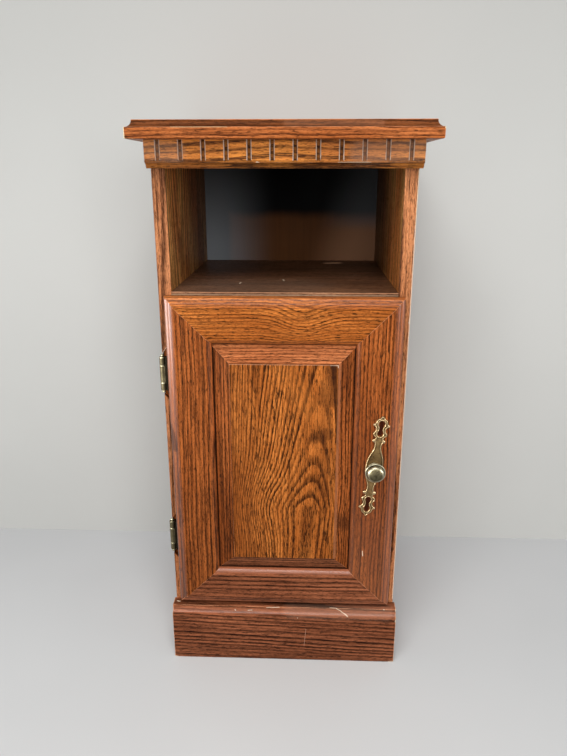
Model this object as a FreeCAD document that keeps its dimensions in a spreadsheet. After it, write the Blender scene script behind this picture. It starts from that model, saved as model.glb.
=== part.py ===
import FreeCAD, Part
import os
import re

import Sketcher

# A narrow side cabinet in stained oak: a moulded top over a dentil cornice, an open niche, and a
# cupboard behind one mitred frame-and-panel door hung on two butt hinges.
# Millimetres. +Z is up and the front faces -Y. The pieces are drawn about a point on the floor,
# midway across the width, in the plane of the side panels' front edges. Each finished piece is
# then moved back or forth so that the origin lies under the middle of the whole.

SIZES = (
    # case
    ("carcass_width", 305.0, "across the outer faces of the side panels"),
    ("carcass_depth", 300.0, "front edge to rear edge of a side panel"),
    ("overall_height", 713.0, "floor to the top surface"),
    ("board_thickness", 16.0, "side panels, shelf, bottom and sub-top"),
    ("arris_radius", 1.0, "easing of the boards' front corners"),
    ("housing_depth", 5.0, "how far a shelf end enters a side panel"),
    ("housing_stop", 10.0, "front edge to the start of a housing"),
    ("niche_floor_height", 521.5, "floor to the niche shelf's upper face"),
    ("back_thickness", 4.0, "plywood back"),
    ("back_inset", 3.0, "rear edge of the side panels to the back's rear face"),
    ("rabbet_depth", 8.0, "how far the back enters a side panel"),
    # table top
    ("top_thickness", 20.0, "table top"),
    ("top_side_overhang", 19.0, "table top beyond a side panel"),
    ("top_front_overhang", 35.0, "table top beyond the side panels' front edges"),
    ("top_cove_radius", 7.0, "hollow above the table top's flat edge"),
    ("top_cove_lip", 1.0, "small upright between the hollow and the top surface"),
    ("top_nose_radius", 1.5, "easing of the table top's lower edge"),
    # dentil cornice
    ("cornice_thickness", 19.0, "front to back"),
    ("cornice_height", 30.0, "under the table top"),
    ("cornice_end_overhang", 2.5, "cornice beyond a side panel"),
    ("cornice_bead_drop", 21.7, "cornice top to the foot of the dentils"),
    ("cornice_bead_height", 2.3, "plain fillet under the dentils"),
    ("cornice_quirk", 1.5, "step between fillet and hollow"),
    ("cornice_cove_radius", 4.5, "hollow under the fillet"),
    ("dentil_pitch", 25.4, "centre to centre of the grooves"),
    ("dentil_groove_width", 3.8, "flat bottom of a groove"),
    ("dentil_groove_depth", 3.0, "grooves cut into the cornice"),
    ("dentil_chamfer", 0.9, "bevelled arris on both sides of a groove"),
    ("dentil_groove_count", 12, "grooves along the cornice"),
    # plinth
    ("plinth_height", 84.5, "floor to the ledge on the plinth board"),
    ("plinth_thickness", 21.3, "front to back at the foot"),
    ("plinth_end_overhang", 2.3, "plinth beyond a side panel"),
    ("plinth_cove_radius", 5.0, "hollow at the top of the plinth face"),
    ("plinth_fillet_height", 5.5, "upright between hollow and ledge"),
    ("plinth_foot_radius", 1.5, "easing of the plinth's lower edge"),
    ("glue_block_size", 24.0, "legs of a corner glue block"),
    ("glue_block_lift", 8.0, "floor to a glue block's lower end"),
    # door
    ("door_thickness", 19.0, "face of the frame to its back"),
    ("door_gap", 1.0, "side panels' front edges to the closed door"),
    ("door_side_reveal", 8.5, "side panel showing beside the door"),
    ("door_bottom_gap", 5.0, "plinth ledge to the door"),
    ("door_top_drop", 4.0, "niche shelf's upper face to the door's top edge"),
    ("frame_face_width", 50.7, "outer edge of a member to its inner moulding"),
    ("edge_lip", 9.5, "thickness left at the door's outer edge"),
    ("edge_round", 4.5, "round at the door's outer edge"),
    ("edge_fillet", 1.0, "flat between round and hollow"),
    ("edge_cove", 3.5, "hollow of the outer moulding"),
    ("edge_flat", 2.5, "flat between hollow and the face's step"),
    ("sticking_step", 1.0, "step from the face into the inner moulding"),
    ("sticking_round", 5.5, "round of the inner moulding"),
    ("panel_groove_back", 4.5, "back of the frame to the panel groove"),
    ("panel_groove_width", 6.0, "panel groove"),
    ("panel_groove_depth", 9.0, "panel groove"),
    ("panel_thickness", 12.7, "door panel over its raised field"),
    ("panel_tongue_thickness", 5.8, "edge of the panel in the groove"),
    ("panel_tongue_width", 10.5, "flat margin around the panel"),
    ("panel_margin", 28.0, "edge of the panel to its raised field"),
    ("panel_step", 1.3, "upright around the raised field"),
    ("panel_joint_back", 3.5, "back of the panel to the tongue of its field"),
    ("panel_joint_thickness", 4.0, "tongue of the field in the bevelled strips"),
    ("panel_joint_depth", 5.0, "tongue of the field in the bevelled strips"),
    ("panel_joint_fit", 0.1, "play of that tongue"),
    ("panel_side_gap", 2.0, "room for the panel to swell, each side"),
    ("panel_top_gap", 6.0, "room above the panel, which rests in the lower rail"),
    ("spline_length", 26.0, "mitre spline along the mitre"),
    ("spline_width", 16.0, "mitre spline across the mitre"),
    ("spline_thickness", 3.0, "plywood spline"),
    ("spline_back", 5.5, "back of the frame to a spline"),
    ("spline_fit", 0.1, "play of a spline in its slot"),
    # hinges
    ("hinge_low_height", 184.5, "floor to the middle of the lower hinge"),
    ("hinge_high_height", 417.0, "floor to the middle of the upper hinge"),
    ("hinge_length", 44.0, "stack of knuckles"),
    ("hinge_knuckle", 10.5, "each of the two outer knuckles"),
    ("hinge_knuckle_gap", 0.3, "between knuckles"),
    ("barrel_radius", 3.75, "knuckles"),
    ("pin_radius", 1.5, "hinge pin"),
    ("pin_clearance", 0.05, "hinge pin in its knuckles, on radius"),
    ("pin_tip_radius", 2.2, "ball on each end of a pin"),
    ("pin_outset", 0.5, "hinge axis beyond the side panel's outer face"),
    ("pin_setback", 2.75, "hinge axis behind the side panels' front edges"),
    ("leaf_thickness", 1.5, "hinge leaves"),
    ("leaf_clearance", 0.6, "knuckle to the other leaf's plate"),
    ("case_leaf_width", 14.6, "hinge axis to the edge of the case leaf"),
    ("case_leaf_screw", 9.0, "hinge axis to the case leaf's screws"),
    ("door_leaf_width", 24.0, "hinge axis to the edge of the door leaf"),
    ("door_leaf_screw", 19.5, "hinge axis to the door leaf's screws"),
    ("leaf_screw_spread", 26.0, "between the two screws of a leaf"),
    ("notch_depth", 6.9, "hinge notch in the side panel's front edge"),
    ("notch_clearance", 0.7, "ball of a pin to the end of the notch"),
    ("notch_slant_rise", 10.0, "how much a slanted end of the notch lengthens it"),
    ("notch_slant_width", 7.5, "outer face to the end of the slant"),
    # knob and backplate
    ("knob_edge_distance", 29.0, "knob axis to the door's free edge"),
    ("knob_height", 302.5, "floor to the knob axis"),
    ("knob_radius", 12.7, "widest round of the knob"),
    ("knob_projection", 24.0, "backplate to the crown of the knob"),
    ("knob_neck_radius", 5.0, "stem of the knob"),
    ("knob_foot_radius", 7.5, "foot of the knob on its backplate"),
    ("knob_foot_height", 2.5, "foot of the knob"),
    ("knob_rim_height", 13.0, "backplate to the lower edge of the rim"),
    ("knob_rim_thickness", 1.6, "rim of the knob"),
    ("knob_rim_step", 1.4, "rim to the dome, on radius"),
    ("plate_thickness", 2.0, "backplate"),
    ("plate_half_length", 69.8, "knob axis to the tip of the backplate"),
    ("plate_tilt", 7.0, "degrees that the backplate has slipped round"),
    ("bulge_radius", 10.9, "round of the backplate behind the knob"),
    ("waist_half_width", 4.5, "waist above and below the bulge"),
    ("waist_offset", 27.0, "knob axis to a waist"),
    ("ear_radius", 2.3, "small round ears beyond the waists"),
    ("ear_side", 6.0, "middle of the plate to an ear's centre"),
    ("ear_offset", 36.2, "knob axis to an ear's centre"),
    ("neck_half_width", 4.9, "between the ears and the pierced end"),
    ("neck_offset", 40.2, "knob axis to that neck"),
    ("lobe_half_width", 8.9, "inner lobe of a pierced end"),
    ("lobe_offset", 45.0, "knob axis to the inner lobes"),
    ("nick_half_width", 6.2, "between inner lobe and horn"),
    ("nick_offset", 52.2, "knob axis to the nicks"),
    ("horn_half_width", 10.4, "small horn of a pierced end"),
    ("horn_offset", 57.5, "knob axis to the horns"),
    ("shoulder_half_width", 6.8, "pierced end between horn and tip"),
    ("shoulder_offset", 63.6, "knob axis to the shoulders"),
    ("piercing_near", 42.2, "knob axis to the start of a piercing"),
    ("piercing_far", 63.9, "knob axis to the end of a piercing"),
    ("piercing_half_width", 3.8, "piercing at its two wide places"),
    ("piercing_pinch", 2.1, "piercing between them, half the width"),
    ("piercing_lobe", 3.4, "end of a piercing to its nearer wide place"),
    # magnetic catch
    ("catch_distance", 52.0, "inner face of the right side panel to the catch's middle"),
    ("catch_case_length", 46.0, "catch case across the cabinet"),
    ("catch_case_depth", 14.0, "catch case, front to back"),
    ("catch_case_height", 13.0, "catch case below the niche shelf"),
    ("catch_setback", 1.6, "side panels' front edges to the catch case"),
    ("catch_wall", 2.0, "plastic wall around the magnet"),
    ("catch_body_length", 24.0, "length of the case that holds the magnet"),
    ("catch_ear_height", 3.0, "screw ears at the ends of the case"),
    ("catch_screw_inset", 5.5, "end of the case to a screw"),
    ("pole_thickness", 1.5, "steel pole plates above and below the magnet"),
    ("pole_stand_out", 1.2, "pole plates in front of the case"),
    ("strike_length", 36.0, "strike plate"),
    ("strike_height", 12.0, "strike plate"),
    ("strike_thickness", 1.0, "strike plate"),
    # fasteners
    ("screw_radius", 1.6, "wood screw shank"),
    ("screw_head_radius", 3.0, "wood screw head"),
    ("screw_fit", 0.05, "play of a screw in its hole"),
    ("case_screw_length", 16.0, "case leaf screws"),
    ("door_screw_length", 11.0, "door leaf and strike screws"),
    ("catch_screw_length", 12.0, "catch screws"),
    ("top_screw_length", 29.0, "screws from the sub-top into the table top"),
    ("top_screw_side", 100.0, "table top screws from the middle of the width"),
    ("top_screw_front", 40.0, "front edge to the front pair of table top screws"),
    ("top_screw_rear", 250.0, "front edge to the rear pair of table top screws"),
    ("knob_screw_radius", 2.0, "machine screw through the door"),
    ("knob_screw_head", 4.0, "its head, on radius"),
    ("knob_screw_head_height", 2.4, "its head"),
    ("knob_screw_reach", 9.0, "machine screw inside the knob"),
    ("nail_radius", 0.8, "back panel nail"),
    ("nail_head_radius", 2.0, "back panel nail"),
    ("nail_head_height", 0.8, "back panel nail"),
    ("nail_length", 16.0, "back panel nail"),
    ("nail_edge", 4.0, "inner face of a side panel to the nails in it"),
    ("nail_margin", 14.0, "level board to the next nail along a side"),
    ("nail_spread", 60.0, "nails in the sub-top and bottom from the middle of the width"),
    ("pin_nail_radius", 0.6, "headless panel pin"),
    ("pin_nail_length", 34.0, "headless panel pin"),
    ("pin_nail_drop", 12.0, "edge of the plinth to its pins"),
    ("pin_nail_start", 2.0, "depth of a pin below the surface"),
)

FUNCTIONS = {"sqrt", "sin", "cos"}

doc = FreeCAD.newDocument("side_cabinet")
sheet = doc.addObject("Spreadsheet::Sheet", "Sizes")
for row, (alias, size, meaning) in enumerate(SIZES, start=1):
    sheet.set(f"A{row}", alias)
    sheet.set(f"B{row}", str(size))
    sheet.set(f"C{row}", meaning)
    sheet.setAlias(f"B{row}", alias)
doc.recompute()

# Levels and faces that several pieces share, as formulas of the sizes.
HALF = "(carcass_width / 2)"
INNER = "(carcass_width / 2 - board_thickness)"
TOP_UNDER = "(overall_height - top_thickness)"
SUB_TOP_UNDER = "(overall_height - top_thickness - board_thickness)"
SHELF_UNDER = "(niche_floor_height - board_thickness)"
BOTTOM_TOP = "(plinth_height + board_thickness)"
BACK_FRONT = "(carcass_depth - back_inset - back_thickness)"
BACK_REAR = "(carcass_depth - back_inset)"
DOOR_HALF = "(carcass_width / 2 - door_side_reveal)"
DOOR_LOW = "(plinth_height + door_bottom_gap)"
DOOR_HIGH = "(niche_floor_height - door_top_drop)"
DOOR_FRONT = "(-door_gap - door_thickness)"
MEMBER_WIDTH = "(frame_face_width + sticking_round)"
HINGE_X = "(-carcass_width / 2 - pin_outset)"
KNOB_X = "(carcass_width / 2 - door_side_reveal - knob_edge_distance)"
PANEL_HALF = f"({DOOR_HALF} - {MEMBER_WIDTH} + panel_groove_depth - panel_side_gap)"
PANEL_LOW = f"({DOOR_LOW} + {MEMBER_WIDTH} - panel_groove_depth)"
PANEL_HIGH = f"({DOOR_HIGH} - {MEMBER_WIDTH} + panel_groove_depth - panel_top_gap)"
PANEL_BACK = "(-door_gap - panel_groove_back - (panel_groove_width - panel_tongue_thickness) / 2)"
PANEL_FRONT = f"({PANEL_BACK} - panel_thickness)"
TIP_LIFT = "sqrt(pin_tip_radius * pin_tip_radius - pin_radius * pin_radius)"
CATCH_X = "(carcass_width / 2 - board_thickness - catch_distance)"
POLE_FACE = "(catch_setback - pole_stand_out)"
PLATE_FRONT = "(-door_gap - door_thickness - plate_thickness)"
STRIKE_MIDDLE = "(niche_floor_height - board_thickness - catch_case_height / 2)"
DEPTH_MIDDLE = "((carcass_depth - door_gap - door_thickness - plate_thickness - knob_projection) / 2)"

AXES = {
    "X": FreeCAD.Vector(1, 0, 0),
    "Y": FreeCAD.Vector(0, 1, 0),
    "Z": FreeCAD.Vector(0, 0, 1),
}


def formula(text):
    """The text with each size's alias written as a reference into the sheet."""
    def reference(match):
        word = match.group(0)
        return word if word in FUNCTIONS else f"Sizes.{word}"
    return re.sub(r"[a-z][a-z_]*", reference, text)


def value(text):
    """The number that a formula of the sizes gives now."""
    return float(sheet.evalExpression(text))


def total(*terms):
    """The formula of a sum."""
    return "(" + " + ".join(f"({term})" for term in terms) + ")"


def new_body(label):
    body = doc.addObject("PartDesign::Body", label)
    body.Label = label
    return body


def origin_feature(body, role):
    return next(feature for feature in body.Origin.OriginFeatures if feature.Role == role)


def draw_outline(sketch, path):
    """Adds one closed outline. Each corner is (x, y), or (x, y, (centre x, centre y)) where an
    arc, the shorter way round that centre, leads on to the next corner."""
    places = [(value(corner[0]), value(corner[1])) for corner in path]
    ends = []
    for index, corner in enumerate(path):
        here = FreeCAD.Vector(*places[index], 0)
        there = FreeCAD.Vector(*places[(index + 1) % len(path)], 0)
        if len(corner) == 2:
            edge = sketch.addGeometry(Part.LineSegment(here, there), False)
            ends.append((edge, 1, 2))
            continue
        centre = FreeCAD.Vector(value(corner[2][0]), value(corner[2][1]), 0)
        forwards = (here - centre).cross(there - centre).z > 0
        first, last = (here, there) if forwards else (there, here)
        circle = Part.Circle(centre, AXES["Z"], (here - centre).Length)
        arc = Part.ArcOfCircle(circle, circle.parameter(first), circle.parameter(last))
        edge = sketch.addGeometry(arc, False)
        ends.append((edge, 1, 2) if forwards else (edge, 2, 1))
    for index, corner in enumerate(path):
        edge, start, _ = ends[index]
        before, _, end = ends[index - 1]
        sketch.addConstraint(Sketcher.Constraint("Coincident", before, end, edge, start))
        for kind, text, number in zip(("DistanceX", "DistanceY"), corner, places[index]):
            bind_distance(sketch, kind, edge, start, text, number)
        if len(corner) == 3:
            centre_x = corner[2][0]
            bind_distance(sketch, "DistanceX", edge, 3, centre_x, value(centre_x))


def bind_distance(sketch, kind, edge, point, text, number):
    """Ties one coordinate of a point to a formula of the sizes."""
    constraint = Sketcher.Constraint(kind, -1, 1, edge, point, number)
    index = sketch.addConstraint(constraint)
    sketch.setExpression(f"Constraints[{index}]", formula(text))


def new_sketch(body, name, plane, start):
    """A sketch on one of the body's own origin planes, moved along the plane's axis to start."""
    sketch = body.newObject("Sketcher::SketchObject", name)
    sketch.AttachmentSupport = [(origin_feature(body, plane + "_Plane"), "")]
    sketch.MapMode = "FlatFace"
    along = f"-({start})" if plane == "XZ" else start
    sketch.setExpression("AttachmentOffset.Base.z", formula(along))
    return sketch


def outline_sketch(body, name, plane, start, paths):
    sketch = new_sketch(body, name, plane, start)
    for path in paths:
        draw_outline(sketch, path)
    return sketch


def round_sketch(body, name, plane, start, centres, radius):
    """Circles of one radius at the given centres."""
    sketch = new_sketch(body, name, plane, start)
    for across, along in centres:
        middle = FreeCAD.Vector(value(across), value(along), 0)
        edge = sketch.addGeometry(Part.Circle(middle, AXES["Z"], value(radius)), False)
        bind_distance(sketch, "DistanceX", edge, 3, across, middle.x)
        bind_distance(sketch, "DistanceY", edge, 3, along, middle.y)
        index = sketch.addConstraint(Sketcher.Constraint("Radius", edge, value(radius)))
        sketch.setExpression(f"Constraints[{index}]", formula(radius))
    return sketch


def pad(body, sketch, plane, length):
    """Adds material from the sketch along the plane's axis."""
    feature = body.newObject("PartDesign::Pad", sketch.Name + "_pad")
    feature.Profile = sketch
    feature.Reversed = plane == "XZ"
    feature.setExpression("Length", formula(length))
    sketch.Visibility = False
    return feature


def pocket(body, sketch, plane, length):
    """Removes material from the sketch along the plane's axis."""
    feature = body.newObject("PartDesign::Pocket", sketch.Name + "_pocket")
    feature.Profile = sketch
    feature.Reversed = plane != "XZ"
    feature.setExpression("Length", formula(length))
    sketch.Visibility = False
    return feature


def add(body, name, plane, start, length, *paths):
    return pad(body, outline_sketch(body, name, plane, start, paths), plane, length)


def cut(body, name, plane, start, length, *paths):
    return pocket(body, outline_sketch(body, name, plane, start, paths), plane, length)


def rectangle(low_x, low_y, high_x, high_y):
    return [(low_x, low_y), (high_x, low_y), (high_x, high_y), (low_x, high_y)]


def bind_place(item, place):
    for letter, text in zip("xyz", place):
        item.setExpression(f"Placement.Base.{letter}", formula(text))


def box(name, low, size):
    item = doc.addObject("Part::Box", name)
    for side, text in zip(("Length", "Width", "Height"), size):
        item.setExpression(side, formula(text))
    bind_place(item, low)
    return item


def turned(item, axis, sign):
    """Turns a primitive so that its own Z runs along the axis, forwards or backwards."""
    item.Placement.Rotation = FreeCAD.Rotation(AXES["Z"], AXES[axis] * sign)
    return item


def rod(name, foot, axis, sign, radius, length):
    item = turned(doc.addObject("Part::Cylinder", name), axis, sign)
    item.setExpression("Radius", formula(radius))
    item.setExpression("Height", formula(length))
    bind_place(item, foot)
    return item


def taper(name, foot, axis, sign, foot_radius, end_radius, length):
    item = turned(doc.addObject("Part::Cone", name), axis, sign)
    item.setExpression("Radius1", formula(foot_radius))
    item.setExpression("Radius2", formula(end_radius))
    item.setExpression("Height", formula(length))
    bind_place(item, foot)
    return item


def ball(name, centre, radius):
    item = doc.addObject("Part::Sphere", name)
    item.setExpression("Radius", formula(radius))
    bind_place(item, centre)
    return item


def fuse(label, items):
    joined = doc.addObject("Part::MultiFuse", label)
    joined.Label = label
    joined.Shapes = items
    joined.Refine = True
    return joined


def subtract(label, base, tools):
    """The base without the tools, which are joined first where there are several."""
    result = doc.addObject("Part::Cut", label)
    result.Label = label
    result.Base = base
    result.Tool = tools[0] if len(tools) == 1 else fuse(label + "_tools", tools)
    return result


def group(label, items):
    """Separate solids that make one node."""
    bundle = doc.addObject("Part::Compound", label)
    bundle.Label = label
    bundle.Links = items
    return bundle


def moved(place, axis, sign, distance):
    """The place, further along the axis."""
    index = "XYZ".index(axis)
    shifted = list(place)
    shifted[index] = total(place[index], f"{sign} * ({distance})")
    return shifted


def wood_screw(name, head, axis, sign, length):
    """A countersunk screw: its head's flat face is at head, and it points along the axis."""
    taper_length = "(screw_head_radius - screw_radius)"
    tip_length = "(2 * screw_radius)"
    shank_length = f"({length} - {taper_length} - {tip_length})"
    shank = moved(head, axis, sign, taper_length)
    tip = moved(shank, axis, sign, shank_length)
    return fuse(name, [
        taper(name + "_head", head, axis, sign, "screw_head_radius", "screw_radius", taper_length),
        rod(name + "_shank", shank, axis, sign, "screw_radius", shank_length),
        taper(name + "_tip", tip, axis, sign, "screw_radius", "screw_fit", tip_length),
    ])


def screw_hole(name, head, axis, sign, length):
    """The hole of a countersunk screw, with a little play all round."""
    sink_length = "(screw_head_radius - screw_radius)"
    wide = "(screw_head_radius + screw_fit)"
    narrow = "(screw_radius + screw_fit)"
    return fuse(name, [
        taper(name + "_sink", head, axis, sign, wide, narrow, sink_length),
        rod(name + "_bore", head, axis, sign, narrow, total(length, "screw_fit")),
    ])


def build_side_panel(label, side):
    """A side panel: side is -1 on the left and 1 on the right. Housings take the three level
    boards, a rabbet takes the back, and the left panel has the hinge notches."""
    body = new_body(label)
    outer = f"({side} * {HALF})"
    inner = f"({side} * {INNER})"
    eased_outer = f"({outer} - {side} * arris_radius)"
    eased_inner = f"({inner} + {side} * arris_radius)"
    plan = [
        (outer, "carcass_depth"),
        (outer, "arris_radius", (eased_outer, "arris_radius")),
        (eased_outer, "0"),
        (eased_inner, "0", (eased_inner, "arris_radius")),
        (inner, "arris_radius"),
        (inner, "carcass_depth"),
    ]
    add(body, label + "_plan", "XY", "0", TOP_UNDER, plan)
    housed = f"({inner} + {side} * housing_depth)"
    levels = ((BOTTOM_TOP, "plinth_height"), ("niche_floor_height", SHELF_UNDER),
              (TOP_UNDER, SUB_TOP_UNDER))
    housings = [rectangle(inner, low, housed, high) for high, low in levels]
    cut(body, label + "_housings", "XZ", "housing_stop", f"{BACK_FRONT} - housing_stop", *housings)
    rebated = f"({inner} + {side} * rabbet_depth)"
    cut(body, label + "_rabbet", "XY", "0", TOP_UNDER,
        rectangle(inner, BACK_FRONT, rebated, "carcass_depth"))
    if side == "-1":
        slant = f"({outer} + notch_slant_width)"
        mouth = f"(hinge_length / 2 + {TIP_LIFT} + pin_tip_radius + notch_clearance)"
        depths = f"({mouth} + notch_slant_rise)"
        notches = []
        for middle in ("hinge_low_height", "hinge_high_height"):
            notches.append([
                (outer, f"{middle} - {mouth}"),
                (slant, f"{middle} - {depths}"),
                (inner, f"{middle} - {depths}"),
                (inner, f"{middle} + {depths}"),
                (slant, f"{middle} + {depths}"),
                (outer, f"{middle} + {mouth}"),
            ])
        cut(body, label + "_notches", "XZ", "0", "notch_depth", *notches)
    return body


def build_level_board(label, under, eased):
    """A board between the side panels: its ends enter their housings, behind a square shoulder
    at the front. Both front arrises are eased where they show."""
    body = new_body(label)
    reach = f"({INNER} + housing_depth)"
    over = total(under, "board_thickness")
    if eased:
        section = [
            (BACK_FRONT, under),
            (BACK_FRONT, over),
            ("arris_radius", over, ("arris_radius", f"{over} - arris_radius")),
            ("0", f"{over} - arris_radius"),
            ("0", f"{under} + arris_radius", ("arris_radius", f"{under} + arris_radius")),
            ("arris_radius", under),
        ]
    else:
        section = rectangle("0", under, BACK_FRONT, over)
    add(body, label + "_section", "YZ", f"-{reach}", f"2 * {reach}", section)
    shoulders = [
        rectangle(f"-{reach}", "0", f"-{INNER}", "housing_stop"),
        rectangle(INNER, "0", reach, "housing_stop"),
    ]
    cut(body, label + "_shoulders", "XY", under, "board_thickness", *shoulders)
    return body


def top_screw_places():
    """Heads of the four screws, flush with the underside of the sub-top."""
    return [
        (across, along, SUB_TOP_UNDER)
        for across in ("-top_screw_side", "top_screw_side")
        for along in ("top_screw_front", "top_screw_rear")
    ]


def build_table_top():
    """The top: a flat edge with a hollow above it on the front and both sides."""
    body = new_body("table_top_blank")
    half = f"({HALF} + top_side_overhang)"
    front = "(-top_front_overhang)"
    back = "carcass_depth"
    add(body, "top_plan", "XY", TOP_UNDER, "top_thickness", rectangle(f"-{half}", front, half, back))
    shoulder = "(overall_height - top_cove_lip)"
    hollow_foot = f"({shoulder} - top_cove_radius)"
    nose = f"({TOP_UNDER} + top_nose_radius)"

    def edge(outer, inward):
        """The waste above and below one edge, which lies at outer; inward is its sign."""
        stepped = f"({outer} + {inward} * top_cove_radius)"
        eased = f"({outer} + {inward} * top_nose_radius)"
        above = [
            (outer, hollow_foot, (outer, shoulder)),
            (stepped, shoulder),
            (stepped, "overall_height"),
            (outer, "overall_height"),
        ]
        below = [(outer, TOP_UNDER), (eased, TOP_UNDER, (eased, nose)), (outer, nose)]
        return [above, below]

    cut(body, "top_front_edge", "YZ", f"-{half}", f"2 * {half}", *edge(front, "1"))
    cut(body, "top_side_edges", "XZ", front, f"{back} + top_front_overhang",
        *edge(f"(-{half})", "1"), *edge(half, "-1"))
    holes = [
        screw_hole(f"table_top_hole_{index}", place, "Z", 1, "top_screw_length")
        for index, place in enumerate(top_screw_places())
    ]
    return subtract("table_top", body, holes)


def build_sub_top():
    blank = build_level_board("sub_top_blank", SUB_TOP_UNDER, False)
    holes = [
        screw_hole(f"sub_top_hole_{index}", place, "Z", 1, "top_screw_length")
        for index, place in enumerate(top_screw_places())
    ]
    return subtract("sub_top", blank, holes)


def build_top_screws():
    screws = [
        wood_screw(f"top_screw_{index}", place, "Z", 1, "top_screw_length")
        for index, place in enumerate(top_screw_places())
    ]
    return group("top_screws", screws)


def build_cornice():
    """The cornice: a moulded strip with upright grooves that leave a row of dentils."""
    body = new_body("cornice_strip")
    front = "(-cornice_thickness)"
    half = f"({HALF} + cornice_end_overhang)"
    groove_foot = f"({TOP_UNDER} - cornice_bead_drop)"
    bead_foot = f"({groove_foot} - cornice_bead_height)"
    quirk = f"({front} + cornice_quirk)"
    hollow_foot = f"({bead_foot} - cornice_cove_radius)"
    hollow_back = f"({quirk} + cornice_cove_radius)"
    lower_edge = f"({TOP_UNDER} - cornice_height)"
    section = [
        ("0", lower_edge),
        ("0", TOP_UNDER),
        (front, TOP_UNDER),
        (front, bead_foot),
        (quirk, bead_foot, (quirk, hollow_foot)),
        (hollow_back, hollow_foot),
        (f"{hollow_back} + cornice_quirk", hollow_foot),
        (f"{hollow_back} + cornice_quirk", lower_edge),
    ]
    add(body, "cornice_section", "YZ", f"-{half}", f"2 * {half}", section)
    first = "(-dentil_pitch * (dentil_groove_count - 1) / 2)"
    floor = "(dentil_groove_width / 2)"
    mouth = "(dentil_groove_width / 2 + dentil_chamfer)"
    chamfer_back = f"({front} + dentil_chamfer)"
    groove_back = f"({front} + dentil_groove_depth)"
    groove = [
        (f"{first} - {mouth}", front),
        (f"{first} + {mouth}", front),
        (f"{first} + {floor}", chamfer_back),
        (f"{first} + {floor}", groove_back),
        (f"{first} - {floor}", groove_back),
        (f"{first} - {floor}", chamfer_back),
    ]
    first_groove = cut(body, "cornice_groove", "XY", groove_foot, "cornice_bead_drop", groove)
    doc.recompute()
    pattern = body.newObject("PartDesign::LinearPattern", "cornice_grooves")
    pattern.Originals = [first_groove]
    pattern.Direction = (origin_feature(body, "X_Axis"), [""])
    pattern.setExpression("Length", formula("dentil_pitch * (dentil_groove_count - 1)"))
    pattern.setExpression("Occurrences", formula("dentil_groove_count"))
    body.Tip = pattern
    return body


def build_plinth():
    """The plinth board: a flat face, a hollow, a small upright and a ledge."""
    body = new_body("plinth_board")
    front = "(-plinth_thickness)"
    half = f"({HALF} + plinth_end_overhang)"
    hollow_top = "(plinth_height - plinth_fillet_height)"
    hollow_foot = f"({hollow_top} - plinth_cove_radius)"
    ledge_front = f"({front} + plinth_cove_radius)"
    foot = "plinth_foot_radius"
    section = [
        ("0", "0"),
        ("0", "plinth_height"),
        (ledge_front, "plinth_height"),
        (ledge_front, hollow_top, (front, hollow_top)),
        (front, hollow_foot),
        (front, foot, (f"{front} + {foot}", foot)),
        (f"{front} + {foot}", "0"),
    ]
    add(body, "plinth_section", "YZ", f"-{half}", f"2 * {half}", section)
    return body


def build_glue_blocks():
    """Two three-cornered blocks between the plinth, a side panel and the bottom."""
    blocks = []
    for name, side in (("left", "-1"), ("right", "1")):
        body = new_body(f"glue_block_{name}")
        corner = f"({side} * {INNER})"
        leg = f"({corner} - {side} * glue_block_size)"
        plan = [(corner, "0"), (corner, "glue_block_size"), (leg, "0")]
        add(body, f"glue_block_{name}_plan", "XY", "glue_block_lift",
            "plinth_height - glue_block_lift", plan)
        blocks.append(body)
    return group("plinth_glue_blocks", blocks)


def build_back_panel():
    half = f"({INNER} + rabbet_depth)"
    low = (f"-{half}", BACK_FRONT, "plinth_height")
    size = (f"2 * {half}", "back_thickness", f"{TOP_UNDER} - plinth_height")
    return box("back_panel", low, size)


def build_back_nails():
    """Nails through the back into the side panels, the sub-top and the bottom."""
    zones = ((BOTTOM_TOP, SHELF_UNDER, 3), ("niche_floor_height", SUB_TOP_UNDER, 2))
    places = []
    for low, high, count in zones:
        run = f"({high} - {low} - 2 * nail_margin)"
        for step in range(count):
            height = f"({low} + nail_margin + {run} * {step} / {count - 1})"
            places += [(f"{side} * ({INNER} + nail_edge)", height) for side in (-1, 1)]
    for board in (SUB_TOP_UNDER, "plinth_height"):
        middle = total(board, "board_thickness / 2")
        places += [(f"{side} * nail_spread", middle) for side in (-1, 1)]
    nails = []
    for index, (across, height) in enumerate(places):
        name = f"back_nail_{index}"
        surface = (across, BACK_REAR, height)
        head = rod(name + "_head", surface, "Y", 1, "nail_head_radius", "nail_head_height")
        shank = rod(name + "_shank", surface, "Y", -1, "nail_radius", "nail_length")
        nails.append(fuse(name, [head, shank]))
    return group("back_panel_nails", nails)


def build_pins(label, thickness, places):
    """Headless pins driven through a front board; places are (across, height)."""
    pins = []
    for index, (across, height) in enumerate(places):
        foot = (across, f"-{thickness} + pin_nail_start", height)
        pins.append(rod(f"{label}_{index}", foot, "Y", 1, "pin_nail_radius", "pin_nail_length"))
    return group(label, pins)


def build_front_pins():
    """The cornice is pinned to the side panels and the sub-top, the plinth to the side panels."""
    edge = f"({HALF} - board_thickness / 2)"
    board_middle = total(SUB_TOP_UNDER, "board_thickness / 2")
    cornice = [(f"{side} * {across}", board_middle) for side in (-1, 1)
               for across in (edge, "2 * dentil_pitch")]
    plinth = [(f"{side} * {edge}", height) for side in (-1, 1)
              for height in ("pin_nail_drop", "plinth_height - pin_nail_drop")]
    return [
        build_pins("cornice_pins", "cornice_thickness", cornice),
        build_pins("plinth_pins", "plinth_thickness", plinth),
    ]


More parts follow.
